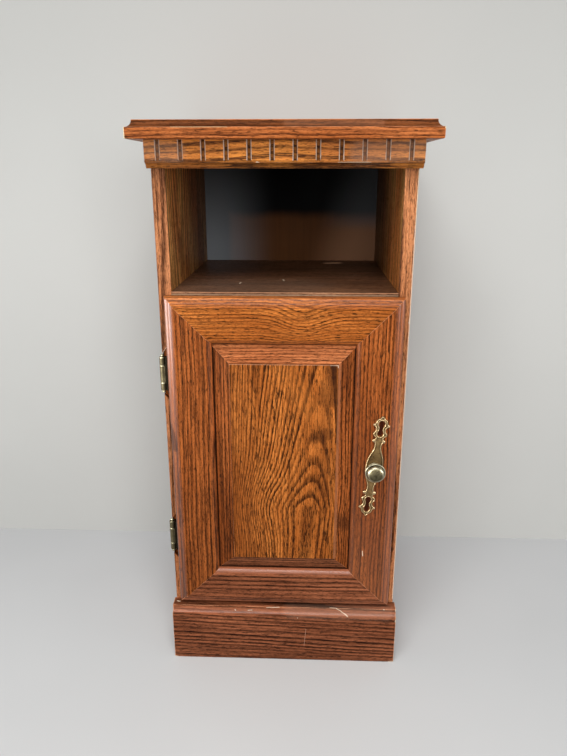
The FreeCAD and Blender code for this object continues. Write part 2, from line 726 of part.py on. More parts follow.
def member_section(outer, inward, back_first):
    """The section of a door frame member as (across, depth) corners. outer is its outer edge
    and inward the sign that leads from it to the door's middle. back_first orders the pair."""
    back = "(-door_gap)"

    def at(across, depth):
        place = (f"({outer} + {inward} * ({across}))", f"({back} - ({depth}))")
        return place if back_first else (place[1], place[0])

    round_end = "edge_round"
    cove_start = "(edge_round + edge_fillet)"
    cove_end = "(edge_round + edge_fillet + edge_cove)"
    step = f"({cove_end} + edge_flat)"
    round_top = "(edge_lip + edge_round)"
    cove_top = "(edge_lip + edge_round + edge_cove)"
    stick_top = "(door_thickness - sticking_step)"
    stick_foot = "(door_thickness - sticking_step - sticking_round)"
    groove_floor = f"({MEMBER_WIDTH} - panel_groove_depth)"
    groove_front = "(panel_groove_back + panel_groove_width)"
    return [
        at("0", "0"),
        at("0", "edge_lip") + (at(round_end, "edge_lip"),),
        at(round_end, round_top),
        at(cove_start, round_top) + (at(cove_start, cove_top),),
        at(cove_end, cove_top),
        at(step, cove_top),
        at(step, "door_thickness"),
        at("frame_face_width", "door_thickness"),
        at("frame_face_width", stick_top) + (at("frame_face_width", stick_foot),),
        at(MEMBER_WIDTH, stick_foot),
        at(MEMBER_WIDTH, groove_front),
        at(groove_floor, groove_front),
        at(groove_floor, "panel_groove_back"),
        at(MEMBER_WIDTH, "panel_groove_back"),
        at(MEMBER_WIDTH, "0"),
    ]


def spline_corners(side, level, inward_up, play):
    """A square-cornered slot set across the mitre at one corner of the door."""
    middle = f"(({MEMBER_WIDTH} - panel_groove_depth) / 2)"
    centre_x = f"({side} * ({DOOR_HALF} - {middle}))"
    centre_z = f"({level} + {inward_up} * {middle})"
    along = f"((spline_length / 2 + {play}) / sqrt(2))"
    across = f"((spline_width / 2 + {play}) / sqrt(2))"
    inward_x = f"(-1 * {side})"
    corners = []
    for sign_along, sign_across in ((1, 1), (1, -1), (-1, -1), (-1, 1)):
        shift_x = f"{inward_x} * ({sign_along} * {along} + {sign_across} * {across})"
        shift_z = f"{inward_up} * ({sign_along} * {along} - {sign_across} * {across})"
        corners.append((f"{centre_x} + {shift_x}", f"{centre_z} + {shift_z}"))
    return corners


DOOR_CORNERS = (
    ("-1", DOOR_LOW, "1"),
    ("1", DOOR_LOW, "1"),
    ("1", DOOR_HIGH, "-1"),
    ("-1", DOOR_HIGH, "-1"),
)
SPLINE_FRONT = "(-door_gap - spline_back - spline_thickness)"


def cut_spline_slots(body, label, corners):
    slots = [spline_corners(*corner, "spline_fit") for corner in corners]
    cut(body, label + "_slots", "XZ", f"{SPLINE_FRONT} - spline_fit",
        "spline_thickness + 2 * spline_fit", *slots)


def build_upright(label, side, half, low, high, width, section, front, thickness):
    """An upright member, mitred at both ends. half, low and high bound the mitred frame."""
    body = new_body(label)
    outer = f"({side} * {half})"
    add(body, label + "_section", "XY", low, f"{high} - {low}", section)
    inner = f"({outer} - {side} * {width})"
    lower = [(outer, low), (inner, low), (inner, f"{low} + {width}")]
    upper = [(outer, high), (inner, high), (inner, f"{high} - {width}")]
    cut(body, label + "_mitres", "XZ", front, thickness, lower, upper)
    return body


def build_level_member(label, level, inward_up, half, width, section, front, thickness):
    """A level member, mitred at both ends. level is its outer edge."""
    body = new_body(label)
    add(body, label + "_section", "YZ", f"-{half}", f"2 * {half}", section)
    inner = f"({level} + {inward_up} * {width})"
    ends = []
    for side in ("-1", "1"):
        outer = f"({side} * {half})"
        ends.append([(outer, level), (outer, inner), (f"{outer} - {side} * {width}", inner)])
    cut(body, label + "_mitres", "XZ", front, thickness, *ends)
    return body


def build_stile_blank(label, side):
    """An upright member of the door frame, slotted for the splines."""
    section = member_section(f"({side} * {DOOR_HALF})", f"(-1 * {side})", True)
    body = build_upright(label, side, DOOR_HALF, DOOR_LOW, DOOR_HIGH, MEMBER_WIDTH, section,
                         DOOR_FRONT, "door_thickness")
    cut_spline_slots(body, label, [corner for corner in DOOR_CORNERS if corner[0] == side])
    return body


def build_rail(label, level, inward_up):
    """A level member of the door frame, slotted for the splines."""
    section = member_section(level, inward_up, False)
    body = build_level_member(label, level, inward_up, DOOR_HALF, MEMBER_WIDTH, section,
                              DOOR_FRONT, "door_thickness")
    cut_spline_slots(body, label, [corner for corner in DOOR_CORNERS if corner[1] == level])
    return body


def build_mitre_splines():
    splines = []
    for index, corner in enumerate(DOOR_CORNERS):
        body = new_body(f"mitre_spline_{index}")
        add(body, f"mitre_spline_{index}_plan", "XZ", SPLINE_FRONT, "spline_thickness",
            spline_corners(*corner, "0"))
        splines.append(body)
    return group("door_mitre_splines", splines)


def build_door_panel():
    """The raised panel: a flat field board, tongued into four mitred, bevelled strips whose
    thin outer margins lie in the frame's groove."""
    tongue = f"({PANEL_BACK} - panel_tongue_thickness)"
    bevel_top = f"({PANEL_FRONT} + panel_step)"
    joint_back = f"({PANEL_BACK} - panel_joint_back)"
    joint_front = f"({joint_back} - panel_joint_thickness)"

    def strip_section(edge, inward, depth_first):
        """The section of one strip, from its outer edge inwards."""
        flat_end = f"({edge} + {inward} * panel_tongue_width)"
        field_edge = f"({edge} + {inward} * panel_margin)"
        groove = f"({field_edge} - {inward} * (panel_joint_depth + panel_joint_fit))"
        corners = [
            (edge, PANEL_BACK), (edge, tongue), (flat_end, tongue), (field_edge, bevel_top),
            (field_edge, f"({joint_front} - panel_joint_fit)"),
            (groove, f"({joint_front} - panel_joint_fit)"),
            (groove, f"({joint_back} + panel_joint_fit)"),
            (field_edge, f"({joint_back} + panel_joint_fit)"), (field_edge, PANEL_BACK),
        ]
        return [(depth, across) for across, depth in corners] if depth_first else corners

    strips = []
    for name, side in (("left", "-1"), ("right", "1")):
        section = strip_section(f"({side} * {PANEL_HALF})", f"(-1 * {side})", False)
        strips.append(build_upright(f"panel_bevel_{name}", side, PANEL_HALF, PANEL_LOW, PANEL_HIGH,
                                    "panel_margin", section, PANEL_FRONT, "panel_thickness"))
    for name, level, inward_up in (("bottom", PANEL_LOW, "1"), ("top", PANEL_HIGH, "-1")):
        section = strip_section(level, inward_up, True)
        strips.append(build_level_member(f"panel_bevel_{name}", level, inward_up, PANEL_HALF,
                                         "panel_margin", section, PANEL_FRONT, "panel_thickness"))

    field = new_body("panel_field")

    def field_outline(beyond):
        """The field's outline, with what its tongue reaches beyond it."""
        across = f"({PANEL_HALF} - panel_margin + {beyond})"
        low = f"({PANEL_LOW} + panel_margin - {beyond})"
        high = f"({PANEL_HIGH} - panel_margin + {beyond})"
        return rectangle(f"-{across}", low, across, high)

    add(field, "field_board", "XZ", PANEL_FRONT, "panel_thickness", field_outline("0"))
    add(field, "field_tongue", "XZ", joint_front, "panel_joint_thickness",
        field_outline("panel_joint_depth"))
    return [field] + strips


def hinge_screw_places(distance, depth):
    """Screw heads of one kind of leaf on both hinges."""
    return [
        (total(HINGE_X, distance), depth, f"{middle} + {sign} * leaf_screw_spread / 2")
        for middle in ("hinge_low_height", "hinge_high_height")
        for sign in (-1, 1)
    ]


CASE_SCREW_HEAD = "(notch_depth - leaf_thickness)"
DOOR_SCREW_HEAD = "(-door_gap + leaf_thickness)"


def build_hinge_leaf(label, middle, knuckles, plate_low, plate_high, width, screw, sign):
    """One leaf: knuckles around the pin, a plate, and webs that join them. knuckles are (low,
    length) stretches counted from the hinge's middle. sign is the way that its screws point."""
    plate_start = total(HINGE_X, "barrel_radius", "leaf_clearance")
    thickness = f"({plate_high} - ({plate_low}))"
    foot = f"({middle} - hinge_length / 2)"
    plate_end = total(HINGE_X, width)
    pieces = [box(label + "_plate", (plate_start, plate_low, foot),
                  (f"{plate_end} - {plate_start}", thickness, "hinge_length"))]
    for index, (low, length) in enumerate(knuckles):
        base = total(middle, low)
        pieces.append(rod(f"{label}_knuckle_{index}", (HINGE_X, "pin_setback", base), "Z", 1,
                          "barrel_radius", length))
        pieces.append(box(f"{label}_web_{index}", (HINGE_X, plate_low, base),
                          ("barrel_radius + leaf_clearance", thickness, length)))
    bore = rod(label + "_bore", (HINGE_X, "pin_setback", foot), "Z", 1,
               "pin_radius + pin_clearance", "hinge_length")
    head = plate_low if sign == 1 else plate_high
    places = [
        (total(HINGE_X, screw), head, f"{middle} + {spread} * leaf_screw_spread / 2")
        for spread in (-1, 1)
    ]
    holes = [
        screw_hole(f"{label}_hole_{index}", place, "Y", sign, "leaf_thickness")
        for index, place in enumerate(places)
    ]
    return subtract(label, fuse(label + "_blank", pieces), [bore] + holes)


def build_hinge(name, middle):
    """A butt hinge: the case leaf has the two outer knuckles, the door leaf the middle one."""
    half = "hinge_length / 2"
    outer = [(f"-{half}", "hinge_knuckle"), (f"{half} - hinge_knuckle", "hinge_knuckle")]
    inner_low = f"-{half} + hinge_knuckle + hinge_knuckle_gap"
    inner_length = "hinge_length - 2 * hinge_knuckle - 2 * hinge_knuckle_gap"
    case_leaf = build_hinge_leaf(
        f"hinge_case_leaf_{name}", middle, outer, CASE_SCREW_HEAD, "notch_depth",
        "case_leaf_width", "case_leaf_screw", 1)
    door_leaf = build_hinge_leaf(
        f"hinge_door_leaf_{name}", middle, [(inner_low, inner_length)], "-door_gap",
        DOOR_SCREW_HEAD, "door_leaf_width", "door_leaf_screw", -1)
    foot = f"({middle} - {half})"
    shaft = rod(f"hinge_pin_{name}_shaft", (HINGE_X, "pin_setback", foot), "Z", 1,
                "pin_radius", "hinge_length")
    tips = []
    for tip_name, level in (("low", f"{foot} - {TIP_LIFT}"),
                            ("high", f"{middle} + {half} + {TIP_LIFT}")):
        ball_name = f"hinge_pin_{name}_{tip_name}"
        tips.append(ball(ball_name, (HINGE_X, "pin_setback", level), "pin_tip_radius"))
    pin = subtract_knuckle_ends(name, middle, fuse(f"hinge_pin_{name}_blank", [shaft] + tips))
    return [case_leaf, door_leaf, pin]


def subtract_knuckle_ends(name, middle, blank):
    """Squares the balls off where they sit on the knuckles' ends."""
    sleeve = rod(f"hinge_pin_{name}_sleeve", (HINGE_X, "pin_setback", f"{middle} - hinge_length / 2"),
                 "Z", 1, "barrel_radius", "hinge_length")
    core = rod(f"hinge_pin_{name}_core", (HINGE_X, "pin_setback", f"{middle} - hinge_length / 2"),
               "Z", 1, "pin_radius", "hinge_length")
    ring = subtract(f"hinge_pin_{name}_ring", sleeve, [core])
    return subtract(f"hinge_pin_{name}", blank, [ring])


def build_hinge_screws():
    case = hinge_screw_places("case_leaf_screw", CASE_SCREW_HEAD)
    door = hinge_screw_places("door_leaf_screw", DOOR_SCREW_HEAD)
    return [
        group("hinge_case_screws", [
            wood_screw(f"case_screw_{index}", place, "Y", 1, "case_screw_length")
            for index, place in enumerate(case)
        ]),
        group("hinge_door_screws", [
            wood_screw(f"door_screw_{index}", place, "Y", -1, "door_screw_length")
            for index, place in enumerate(door)
        ]),
    ]


def build_side_panels():
    left_blank = build_side_panel("side_panel_left_blank", "-1")
    holes = [
        screw_hole(f"side_panel_hole_{index}", place, "Y", 1, "case_screw_length")
        for index, place in enumerate(hinge_screw_places("case_leaf_screw", CASE_SCREW_HEAD))
    ]
    return [subtract("side_panel_left", left_blank, holes), build_side_panel("side_panel_right", "1")]


def knob_bore(name, low, high):
    """A hole for the knob's screw between two depths."""
    return rod(name, (KNOB_X, low, "knob_height"), "Y", 1, "knob_screw_radius + screw_fit",
               f"{high} - ({low})")


def build_door_frame():
    left_blank = build_stile_blank("door_stile_left_blank", "-1")
    holes = [
        screw_hole(f"stile_hole_{index}", place, "Y", -1, "door_screw_length")
        for index, place in enumerate(hinge_screw_places("door_leaf_screw", DOOR_SCREW_HEAD))
    ]
    right_blank = build_stile_blank("door_stile_right_blank", "1")
    top_blank = build_rail("door_rail_top_blank", DOOR_HIGH, "-1")
    strike_hole = screw_hole("rail_hole", strike_screw_place(), "Y", -1, "door_screw_length")
    return [
        subtract("door_stile_left", left_blank, holes),
        subtract("door_stile_right", right_blank, [knob_bore("stile_bore", DOOR_FRONT, "-door_gap")]),
        subtract("door_rail_top", top_blank, [strike_hole]),
        build_rail("door_rail_bottom", DOOR_LOW, "1"),
    ]


def build_knob():
    """A turned knob: a foot, a flared stem, a rim and a dome, with a threaded hole up the stem."""
    body = new_body("knob_turning")
    rim_top = "(knob_rim_height + knob_rim_thickness)"
    dome_radius = "(knob_radius - knob_rim_step)"
    dome_rise = f"(knob_projection - {rim_top})"
    dome_centre = (f"(knob_projection - ({dome_radius} * {dome_radius} + {dome_rise} * {dome_rise})"
                   f" / (2 * {dome_rise}))")
    flare = "(knob_radius - knob_neck_radius)"
    flare_foot = f"(knob_rim_height - {flare})"
    profile = [
        ("0", "0"),
        ("knob_foot_radius", "0"),
        ("knob_foot_radius", "knob_foot_height"),
        ("knob_neck_radius", "knob_foot_height"),
        ("knob_neck_radius", flare_foot, (f"knob_neck_radius + {flare}", flare_foot)),
        ("knob_radius", "knob_rim_height"),
        ("knob_radius", rim_top),
        (dome_radius, rim_top, ("0", dome_centre)),
        ("0", "knob_projection"),
    ]
    sketch = outline_sketch(body, "knob_profile", "XZ", "0", [profile])
    turning = body.newObject("PartDesign::Revolution", "knob_revolution")
    turning.Profile = sketch
    turning.ReferenceAxis = (sketch, ["V_Axis"])
    turning.Angle = 360
    sketch.Visibility = False
    body.Placement.Rotation = FreeCAD.Rotation(AXES["Z"], AXES["Y"] * -1)
    bind_place(body, (KNOB_X, PLATE_FRONT, "knob_height"))
    bore = knob_bore("knob_thread", f"{PLATE_FRONT} - knob_screw_reach - screw_fit", PLATE_FRONT)
    return subtract("knob", body, [bore])


def mirrored(half, sign):
    """A closed outline from its right-hand half, on the upper (1) or lower (-1) end."""
    right = [(across, f"{sign} * {along}") for across, along in half]
    left = [(f"-{across}", f"{sign} * {along}") for across, along in reversed(half)
            if across != "0"]
    return right + left


def build_backplate():
    """The backplate: a bulge behind the knob, two waists and a pierced, lobed end above and
    below. It is drawn upright about the knob's axis, then set at its tilt."""
    body = new_body("knob_backplate")
    bulge_end = ("bulge_radius * 0.86", "bulge_radius")
    blade = [("bulge_radius * 0.98", "0"), bulge_end, ("waist_half_width", "waist_offset"),
             ("neck_half_width", "neck_offset"), ("0", "neck_offset")]
    pierced_end = [
        ("0", "ear_offset"), ("neck_half_width", "neck_offset"),
        ("lobe_half_width", "lobe_offset"), ("nick_half_width", "nick_offset"),
        ("horn_half_width", "horn_offset"), ("shoulder_half_width", "shoulder_offset"),
        ("0", "plate_half_length"),
    ]
    piercing = [
        ("0", "piercing_near"), ("piercing_half_width", "(piercing_near + piercing_lobe)"),
        ("piercing_pinch", "((piercing_near + piercing_far) / 2)"),
        ("piercing_half_width", "(piercing_far - piercing_lobe)"), ("0", "piercing_far"),
    ]
    bulge = round_sketch(body, "plate_bulge", "XZ", "0", [("0", "0")], "bulge_radius")
    pad(body, bulge, "XZ", "plate_thickness")
    ears = [(f"{side} * ear_side", f"{sign} * ear_offset") for sign in (-1, 1) for side in (-1, 1)]
    for sign, name in (("1", "upper"), ("-1", "lower")):
        add(body, f"plate_{name}_blade", "XZ", "0", "plate_thickness", mirrored(blade, sign))
        add(body, f"plate_{name}_end", "XZ", "0", "plate_thickness", mirrored(pierced_end, sign))
        cut(body, f"plate_{name}_piercing", "XZ", "0", "plate_thickness",
            mirrored(piercing, sign))
    ear_sketch = round_sketch(body, "plate_ears", "XZ", "0", ears, "ear_radius")
    pad(body, ear_sketch, "XZ", "plate_thickness")
    hole = round_sketch(body, "plate_bore", "XZ", "0", [("0", "0")],
                        "knob_screw_radius + screw_fit")
    pocket(body, hole, "XZ", "plate_thickness")
    body.Placement.Rotation = FreeCAD.Rotation(AXES["Y"], value("plate_tilt"))
    body.setExpression("Placement.Rotation.Angle", formula("plate_tilt"))
    bind_place(body, (KNOB_X, PLATE_FRONT, "knob_height"))
    return body


def build_knob_screw():
    """A pan-headed machine screw from the back of the door into the knob."""
    head = rod("knob_screw_pan", (KNOB_X, "-door_gap", "knob_height"), "Y", 1,
               "knob_screw_head", "knob_screw_head_height")
    length = "door_thickness + plate_thickness + knob_screw_reach"
    shank = rod("knob_screw_shank", (KNOB_X, "-door_gap", "knob_height"), "Y", -1,
                "knob_screw_radius", length)
    return fuse("knob_screw", [head, shank])


def strike_screw_place():
    return (CATCH_X, "-door_gap + strike_thickness", STRIKE_MIDDLE)


def build_catch():
    """The magnetic catch under the niche shelf, and the strike plate on the door's back."""
    low_level = f"({SHELF_UNDER} - catch_case_height)"
    body_low = f"({CATCH_X} - catch_body_length / 2)"
    block = box("catch_block", (body_low, "catch_setback", low_level),
                ("catch_body_length", "catch_case_depth", "catch_case_height"))
    foot = box("catch_foot", (f"{CATCH_X} - catch_case_length / 2", "catch_setback",
                              f"{SHELF_UNDER} - catch_ear_height"),
               ("catch_case_length", "catch_case_depth", "catch_ear_height"))
    cavity_length = "(catch_body_length - 2 * catch_wall)"
    cavity_height = "(catch_case_height - 2 * catch_wall)"
    cavity_low = (f"({body_low} + catch_wall)", "catch_setback", f"({low_level} + catch_wall)")
    depth = "(catch_case_depth - catch_wall)"
    cavity = box("catch_cavity", cavity_low, (cavity_length, depth, cavity_height))
    screw_places = [
        (f"{CATCH_X} + {side} * (catch_case_length / 2 - catch_screw_inset)",
         "catch_setback + catch_case_depth / 2", f"{SHELF_UNDER} - catch_ear_height")
        for side in (-1, 1)
    ]
    ear_holes = [
        screw_hole(f"catch_ear_hole_{index}", place, "Z", 1, "catch_ear_height")
        for index, place in enumerate(screw_places)
    ]
    case = subtract("catch_case", fuse("catch_case_blank", [block, foot]), [cavity] + ear_holes)
    plates = []
    for name, level in (("low", cavity_low[2]),
                        ("high", f"({cavity_low[2]} + {cavity_height} - pole_thickness)")):
        plates.append(box(f"pole_plate_{name}", (cavity_low[0], POLE_FACE, level),
                          (cavity_length, f"pole_stand_out + {depth}", "pole_thickness")))
    magnet = box("catch_magnet", (cavity_low[0], "catch_setback", f"{cavity_low[2]} + pole_thickness"),
                 (cavity_length, depth, f"{cavity_height} - 2 * pole_thickness"))
    screws = group("catch_screws", [
        wood_screw(f"catch_screw_{index}", place, "Z", 1, "catch_screw_length")
        for index, place in enumerate(screw_places)
    ])
    shelf_holes = [
        screw_hole(f"shelf_hole_{index}", place, "Z", 1, "catch_screw_length")
        for index, place in enumerate(screw_places)
    ]
    strike_low = (f"{CATCH_X} - strike_length / 2", "-door_gap",
                  f"{STRIKE_MIDDLE} - strike_height / 2")
    strike_blank = box("strike_blank", strike_low,
                       ("strike_length", "strike_thickness", "strike_height"))
    strike_hole = screw_hole("strike_hole", strike_screw_place(), "Y", -1, "door_screw_length")
    strike = subtract("strike_plate", strike_blank, [strike_hole])
    strike_screw = wood_screw("strike_screw", strike_screw_place(), "Y", -1, "door_screw_length")
    shelf_blank = build_level_board("niche_shelf_blank", SHELF_UNDER, True)
    shelf = subtract("niche_shelf", shelf_blank, shelf_holes)
    return [case, group("catch_pole_plates", plates), magnet, screws, strike, strike_screw, shelf]


def build_cabinet():
    """Every sub-part, as a list of the document's objects."""
    return [
        *build_side_panels(),
        build_table_top(),
        build_sub_top(),
        build_level_board("bottom_panel", "plinth_height", True),
        build_back_panel(),
        build_cornice(),
        build_plinth(),
        build_glue_blocks(),
        build_top_screws(),
        build_back_nails(),
        *build_front_pins(),
        *build_door_frame(),
        build_mitre_splines(),
        *build_door_panel(),
        *build_hinge("lower", "hinge_low_height"),
        *build_hinge("upper", "hinge_high_height"),
        *build_hinge_screws(),
        build_knob(),
        build_backplate(),
        build_knob_screw(),
        *build_catch(),
    ]


def settle(subpart):
    """Moves a finished piece along Y so that the origin lies under the middle of the whole."""
    own = [text for path, text, *_ in subpart.ExpressionEngine if path.endswith("Placement.Base.y")]
    before = own[0] if own else "0"
    subpart.setExpression("Placement.Base.y", f"{before} - {formula(DEPTH_MIDDLE)}")


def check_and_export(subparts):
    """Stops on any failed feature or bad shape, then writes one file for each sub-part."""
    for item in subparts:
        settle(item)
    doc.recompute()
    for item in doc.Objects:
        if "Invalid" in item.State or "Error" in item.State:
            raise RuntimeError(f"{item.Name} failed: {item.State}")
        if item.TypeId == "PartDesign::Pocket":
            before = item.getPropertyByName("BaseFeature").Shape.Volume
            if item.Shape.Volume >= before:
                raise RuntimeError(f"{item.Name} removes nothing")
    os.makedirs("parts", exist_ok=True)
    for item in subparts:
        shape = item.Shape
        if shape.isNull() or not shape.isValid() or not shape.Solids:
            raise RuntimeError(f"{item.Label} has no valid solid")
        shape.exportStep(f"parts/{item.Label}.step")
        print(item.Label, len(shape.Solids), round(shape.Volume, 1))


check_and_export(build_cabinet())
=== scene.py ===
"""Dresses the oak side cabinet: its wood, its brass, the floor, the lights and the camera."""

import logging
import math
from collections import Counter
from dataclasses import asdict, astuple, dataclass, replace
from enum import Enum
from typing import Callable, Sequence

import bmesh
import bpy
from bpy.types import Material, Node, NodeTree, Object
from mathutils import Matrix, Vector, geometry, kdtree


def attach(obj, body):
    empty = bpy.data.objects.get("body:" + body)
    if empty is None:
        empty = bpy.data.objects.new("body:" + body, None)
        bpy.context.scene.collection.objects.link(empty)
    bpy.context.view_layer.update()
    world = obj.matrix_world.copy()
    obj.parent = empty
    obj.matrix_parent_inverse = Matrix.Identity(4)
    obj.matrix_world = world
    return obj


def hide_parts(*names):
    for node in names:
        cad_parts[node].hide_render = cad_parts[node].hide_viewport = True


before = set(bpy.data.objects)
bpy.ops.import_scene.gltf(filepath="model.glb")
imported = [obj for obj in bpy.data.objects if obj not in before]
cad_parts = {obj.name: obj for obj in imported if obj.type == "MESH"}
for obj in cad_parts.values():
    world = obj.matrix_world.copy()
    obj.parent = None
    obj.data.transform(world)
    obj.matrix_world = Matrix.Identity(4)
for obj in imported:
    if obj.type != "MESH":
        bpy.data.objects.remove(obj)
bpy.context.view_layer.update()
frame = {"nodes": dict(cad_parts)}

LOG = logging.getLogger("cabinet")

Socket = bpy.types.NodeSocket
Feed = Socket | float | Sequence[float]
Colour = tuple[float, float, float]
Place = tuple[float, float, float]
Scale = tuple[float, float, float]
Span = tuple[float, float]

# Shapes, marks and the oak's figures are in millimetres. The studio and the back board are in
# metres. Every place is counted from the middle of the foot, with +Z up and the front at -Y.
MILLIMETRE = 0.001
PER_METRE = 1000.0


def painted(red: int, green: int, blue: int) -> Colour:
    """Turns a colour as it is seen, 0 to 255, into the linear values that shaders use.

    Args:
        red: Red as it is seen.
        green: Green as it is seen.
        blue: Blue as it is seen.

    Returns:
        The linear colour.
    """
    linear = []
    for level in (red, green, blue):
        share = level / 255
        linear.append(share / 12.92 if share <= 0.04045 else ((share + 0.055) / 1.055) ** 2.4)
    return linear[0], linear[1], linear[2]


# Shader nodes


class Graph:
    """Adds nodes to one tree and joins their sockets."""

    def __init__(self, tree: NodeTree) -> None:
        """Keeps the tree that the nodes go into."""
        self.tree = tree

    def add(self, kind: str, **settings: object) -> Node:
        """Adds a node.

        Args:
            kind: The node's type name.
            **settings: Properties to set on it.

        Returns:
            The new node.
        """
        node = self.tree.nodes.new(kind)
        for name, setting in settings.items():
            setattr(node, name, setting)
        return node

    def feed(self, socket: Socket, source: Feed) -> None:
        """Joins a socket to another one, or sets its own value.

        Args:
            socket: The input to feed.
            source: An output socket, a number or a list of numbers.
        """
        if isinstance(source, Socket):
            self.tree.links.new(source, socket)
        elif socket.type == "RGBA" and len(source) == 3:
            socket.default_value = (*source, 1.0)
        else:
            socket.default_value = source

    def fill(self, node: Node, inputs: dict[str, Feed]) -> None:
        """Feeds several inputs of a node.

        Args:
            node: The node.
            inputs: What goes into each of its named inputs.
        """
        for name, source in inputs.items():
            self.feed(node.inputs[name], source)

    def math(self, operation: str, *sources: Feed) -> Socket:
        """Adds a Math node.

        Args:
            operation: The operation's name.
            *sources: Its inputs in order.

        Returns:
            The result.
        """
        node = self.add("ShaderNodeMath", operation=operation)
        for socket, source in zip(node.inputs, sources):
            self.feed(socket, source)
        return node.outputs[0]

    def vector(self, operation: str, *sources: Feed) -> Node:
        """Adds a Vector Math node.

        Args:
            operation: The operation's name.
            *sources: Its inputs in order.

        Returns:
            The node, with its vector at output 0 and its number at output 1.
        """
        node = self.add("ShaderNodeVectorMath", operation=operation)
        for socket, source in zip(node.inputs, sources):
            self.feed(socket, source)
        return node

    def times(self, first: Feed, second: Feed) -> Socket:
        """Multiplies two numbers."""
        return self.math("MULTIPLY", first, second)

    def plus(self, first: Feed, second: Feed) -> Socket:
        """Adds two numbers."""
        return self.math("ADD", first, second)

    def minus(self, first: Feed, second: Feed) -> Socket:
        """Takes the second number from the first."""
        return self.math("SUBTRACT", first, second)

    def read(self, attribute: str) -> Socket:
        """Reads a number that the mesh carries."""
        return self.add("ShaderNodeAttribute", attribute_name=attribute).outputs["Fac"]

    def place(self) -> Socket:
        """Reads the place on the piece, in metres."""
        return self.add("ShaderNodeTexCoord").outputs["Object"]

    def fine_place(self) -> Socket:
        """Reads the place on the piece, in millimetres."""
        return self.vector("MULTIPLY", self.place(), (PER_METRE,) * 3).outputs[0]

    def split(self, source: Socket) -> tuple[Socket, Socket, Socket]:
        """Splits a vector.

        Args:
            source: The vector.

        Returns:
            Its three numbers.
        """
        node = self.add("ShaderNodeSeparateXYZ")
        self.feed(node.inputs[0], source)
        return node.outputs[0], node.outputs[1], node.outputs[2]

    def join(self, *sources: Feed) -> Socket:
        """Joins three numbers.

        Args:
            *sources: The numbers.

        Returns:
            The vector.
        """
        node = self.add("ShaderNodeCombineXYZ")
        for socket, source in zip(node.inputs, sources):
            self.feed(socket, source)
        return node.outputs[0]

    def ease(self, source: Feed, low: Feed, high: Feed, start: float = 0.0,
             end: float = 1.0) -> Socket:
        """Maps a number smoothly from one range to another.

        Args:
            source: The number.
            low: Where the result is start.
            high: Where the result is end.
            start: The result at low.
            end: The result at high.

        Returns:
            The mapped number.
        """
        node = self.add("ShaderNodeMapRange", interpolation_type="SMOOTHSTEP")
        for socket, number in zip(node.inputs, (source, low, high, start, end)):
            self.feed(socket, number)
        return node.outputs[0]

    def noise(self, place: Socket, scale: Sequence[float], detail: float = 2.0,
              roughness: float = 0.5) -> Socket:
        """Adds noise that is stretched along the axes.

        Args:
            place: Where to read it.
            scale: How many features there are to a unit along each axis.
            detail: Octaves of finer noise.
            roughness: How strong the finer noise is.

        Returns:
            A number around 0.5.
        """
        node = self.add("ShaderNodeTexNoise")
        self.fill(node, {"Vector": self.vector("MULTIPLY", place, scale).outputs[0],
                         "Scale": 1.0, "Detail": detail, "Roughness": roughness})
        return node.outputs[0]

    def noise_along(self, number: Socket) -> Socket:
        """Adds noise along one number.

        Args:
            number: Where to read it.

        Returns:
            A number around 0.5.
        """
        node = self.add("ShaderNodeTexNoise", noise_dimensions="1D")
        self.fill(node, {"W": number, "Scale": 1.0, "Detail": 1.0})
        return node.outputs[0]

    def mix(self, factor: Feed, first: Feed, second: Feed) -> Socket:
        """Mixes two colours.

        Args:
            factor: How much of the second there is.
            first: The first colour.
            second: The second colour.

        Returns:
            The mixed colour.
        """
        node = self.add("ShaderNodeMix", data_type="RGBA")
        self.feed(node.inputs[0], factor)
        self.feed(node.inputs[6], first)
        self.feed(node.inputs[7], second)
        return node.outputs[2]

    def use(self, tree: NodeTree, inputs: dict[str, Feed]) -> Node:
        """Puts a node group in the tree.

        Args:
            tree: The group.
            inputs: What goes into each of its named inputs.

        Returns:
            The group's node.
        """
        node = self.add("ShaderNodeGroup", node_tree=tree)
        self.fill(node, inputs)
        return node


def new_group(name: str, inputs: dict[str, str], outputs: dict[str, str]) -> tuple[
        Graph, dict[str, Socket], Node]:
    """Starts a shader node group.

    Args:
        name: The group's name.
        inputs: Socket type by input name.
        outputs: Socket type by output name.

    Returns:
        The graph inside the group, its inputs by name, and its output node.
    """
    tree = bpy.data.node_groups.new(name, "ShaderNodeTree")
    for sockets, way in ((inputs, "INPUT"), (outputs, "OUTPUT")):
        for label, kind in sockets.items():
            tree.interface.new_socket(label, in_out=way, socket_type="NodeSocket" + kind)
    graph = Graph(tree)
    entry = graph.add("NodeGroupInput")
    leave = graph.add("NodeGroupOutput")
    return graph, {label: entry.outputs[label] for label in inputs}, leave


def new_material(name: str) -> tuple[Material, Graph, Node]:
    """Starts a material with a Principled shader.

    Args:
        name: The material's name.

    Returns:
        The material, its graph and its shader node.
    """
    material = bpy.data.materials.new(name)
    material.use_nodes = True
    graph = Graph(material.node_tree)
    return material, graph, material.node_tree.nodes["Principled BSDF"]


def add_bump(graph: Graph, shader: Node, height: Socket, distance: float,
             strength: float) -> None:
    """Gives a shader relief.

    Args:
        graph: The material's graph.
        shader: The shader.
        height: The relief, from 0 to 1.
        distance: What a height of 1 measures, in metres.
        strength: How strong it is.
    """
    node = graph.add("ShaderNodeBump")
    graph.fill(node, {"Distance": distance, "Strength": strength, "Height": height})
    graph.feed(shader.inputs["Normal"], node.outputs["Normal"])


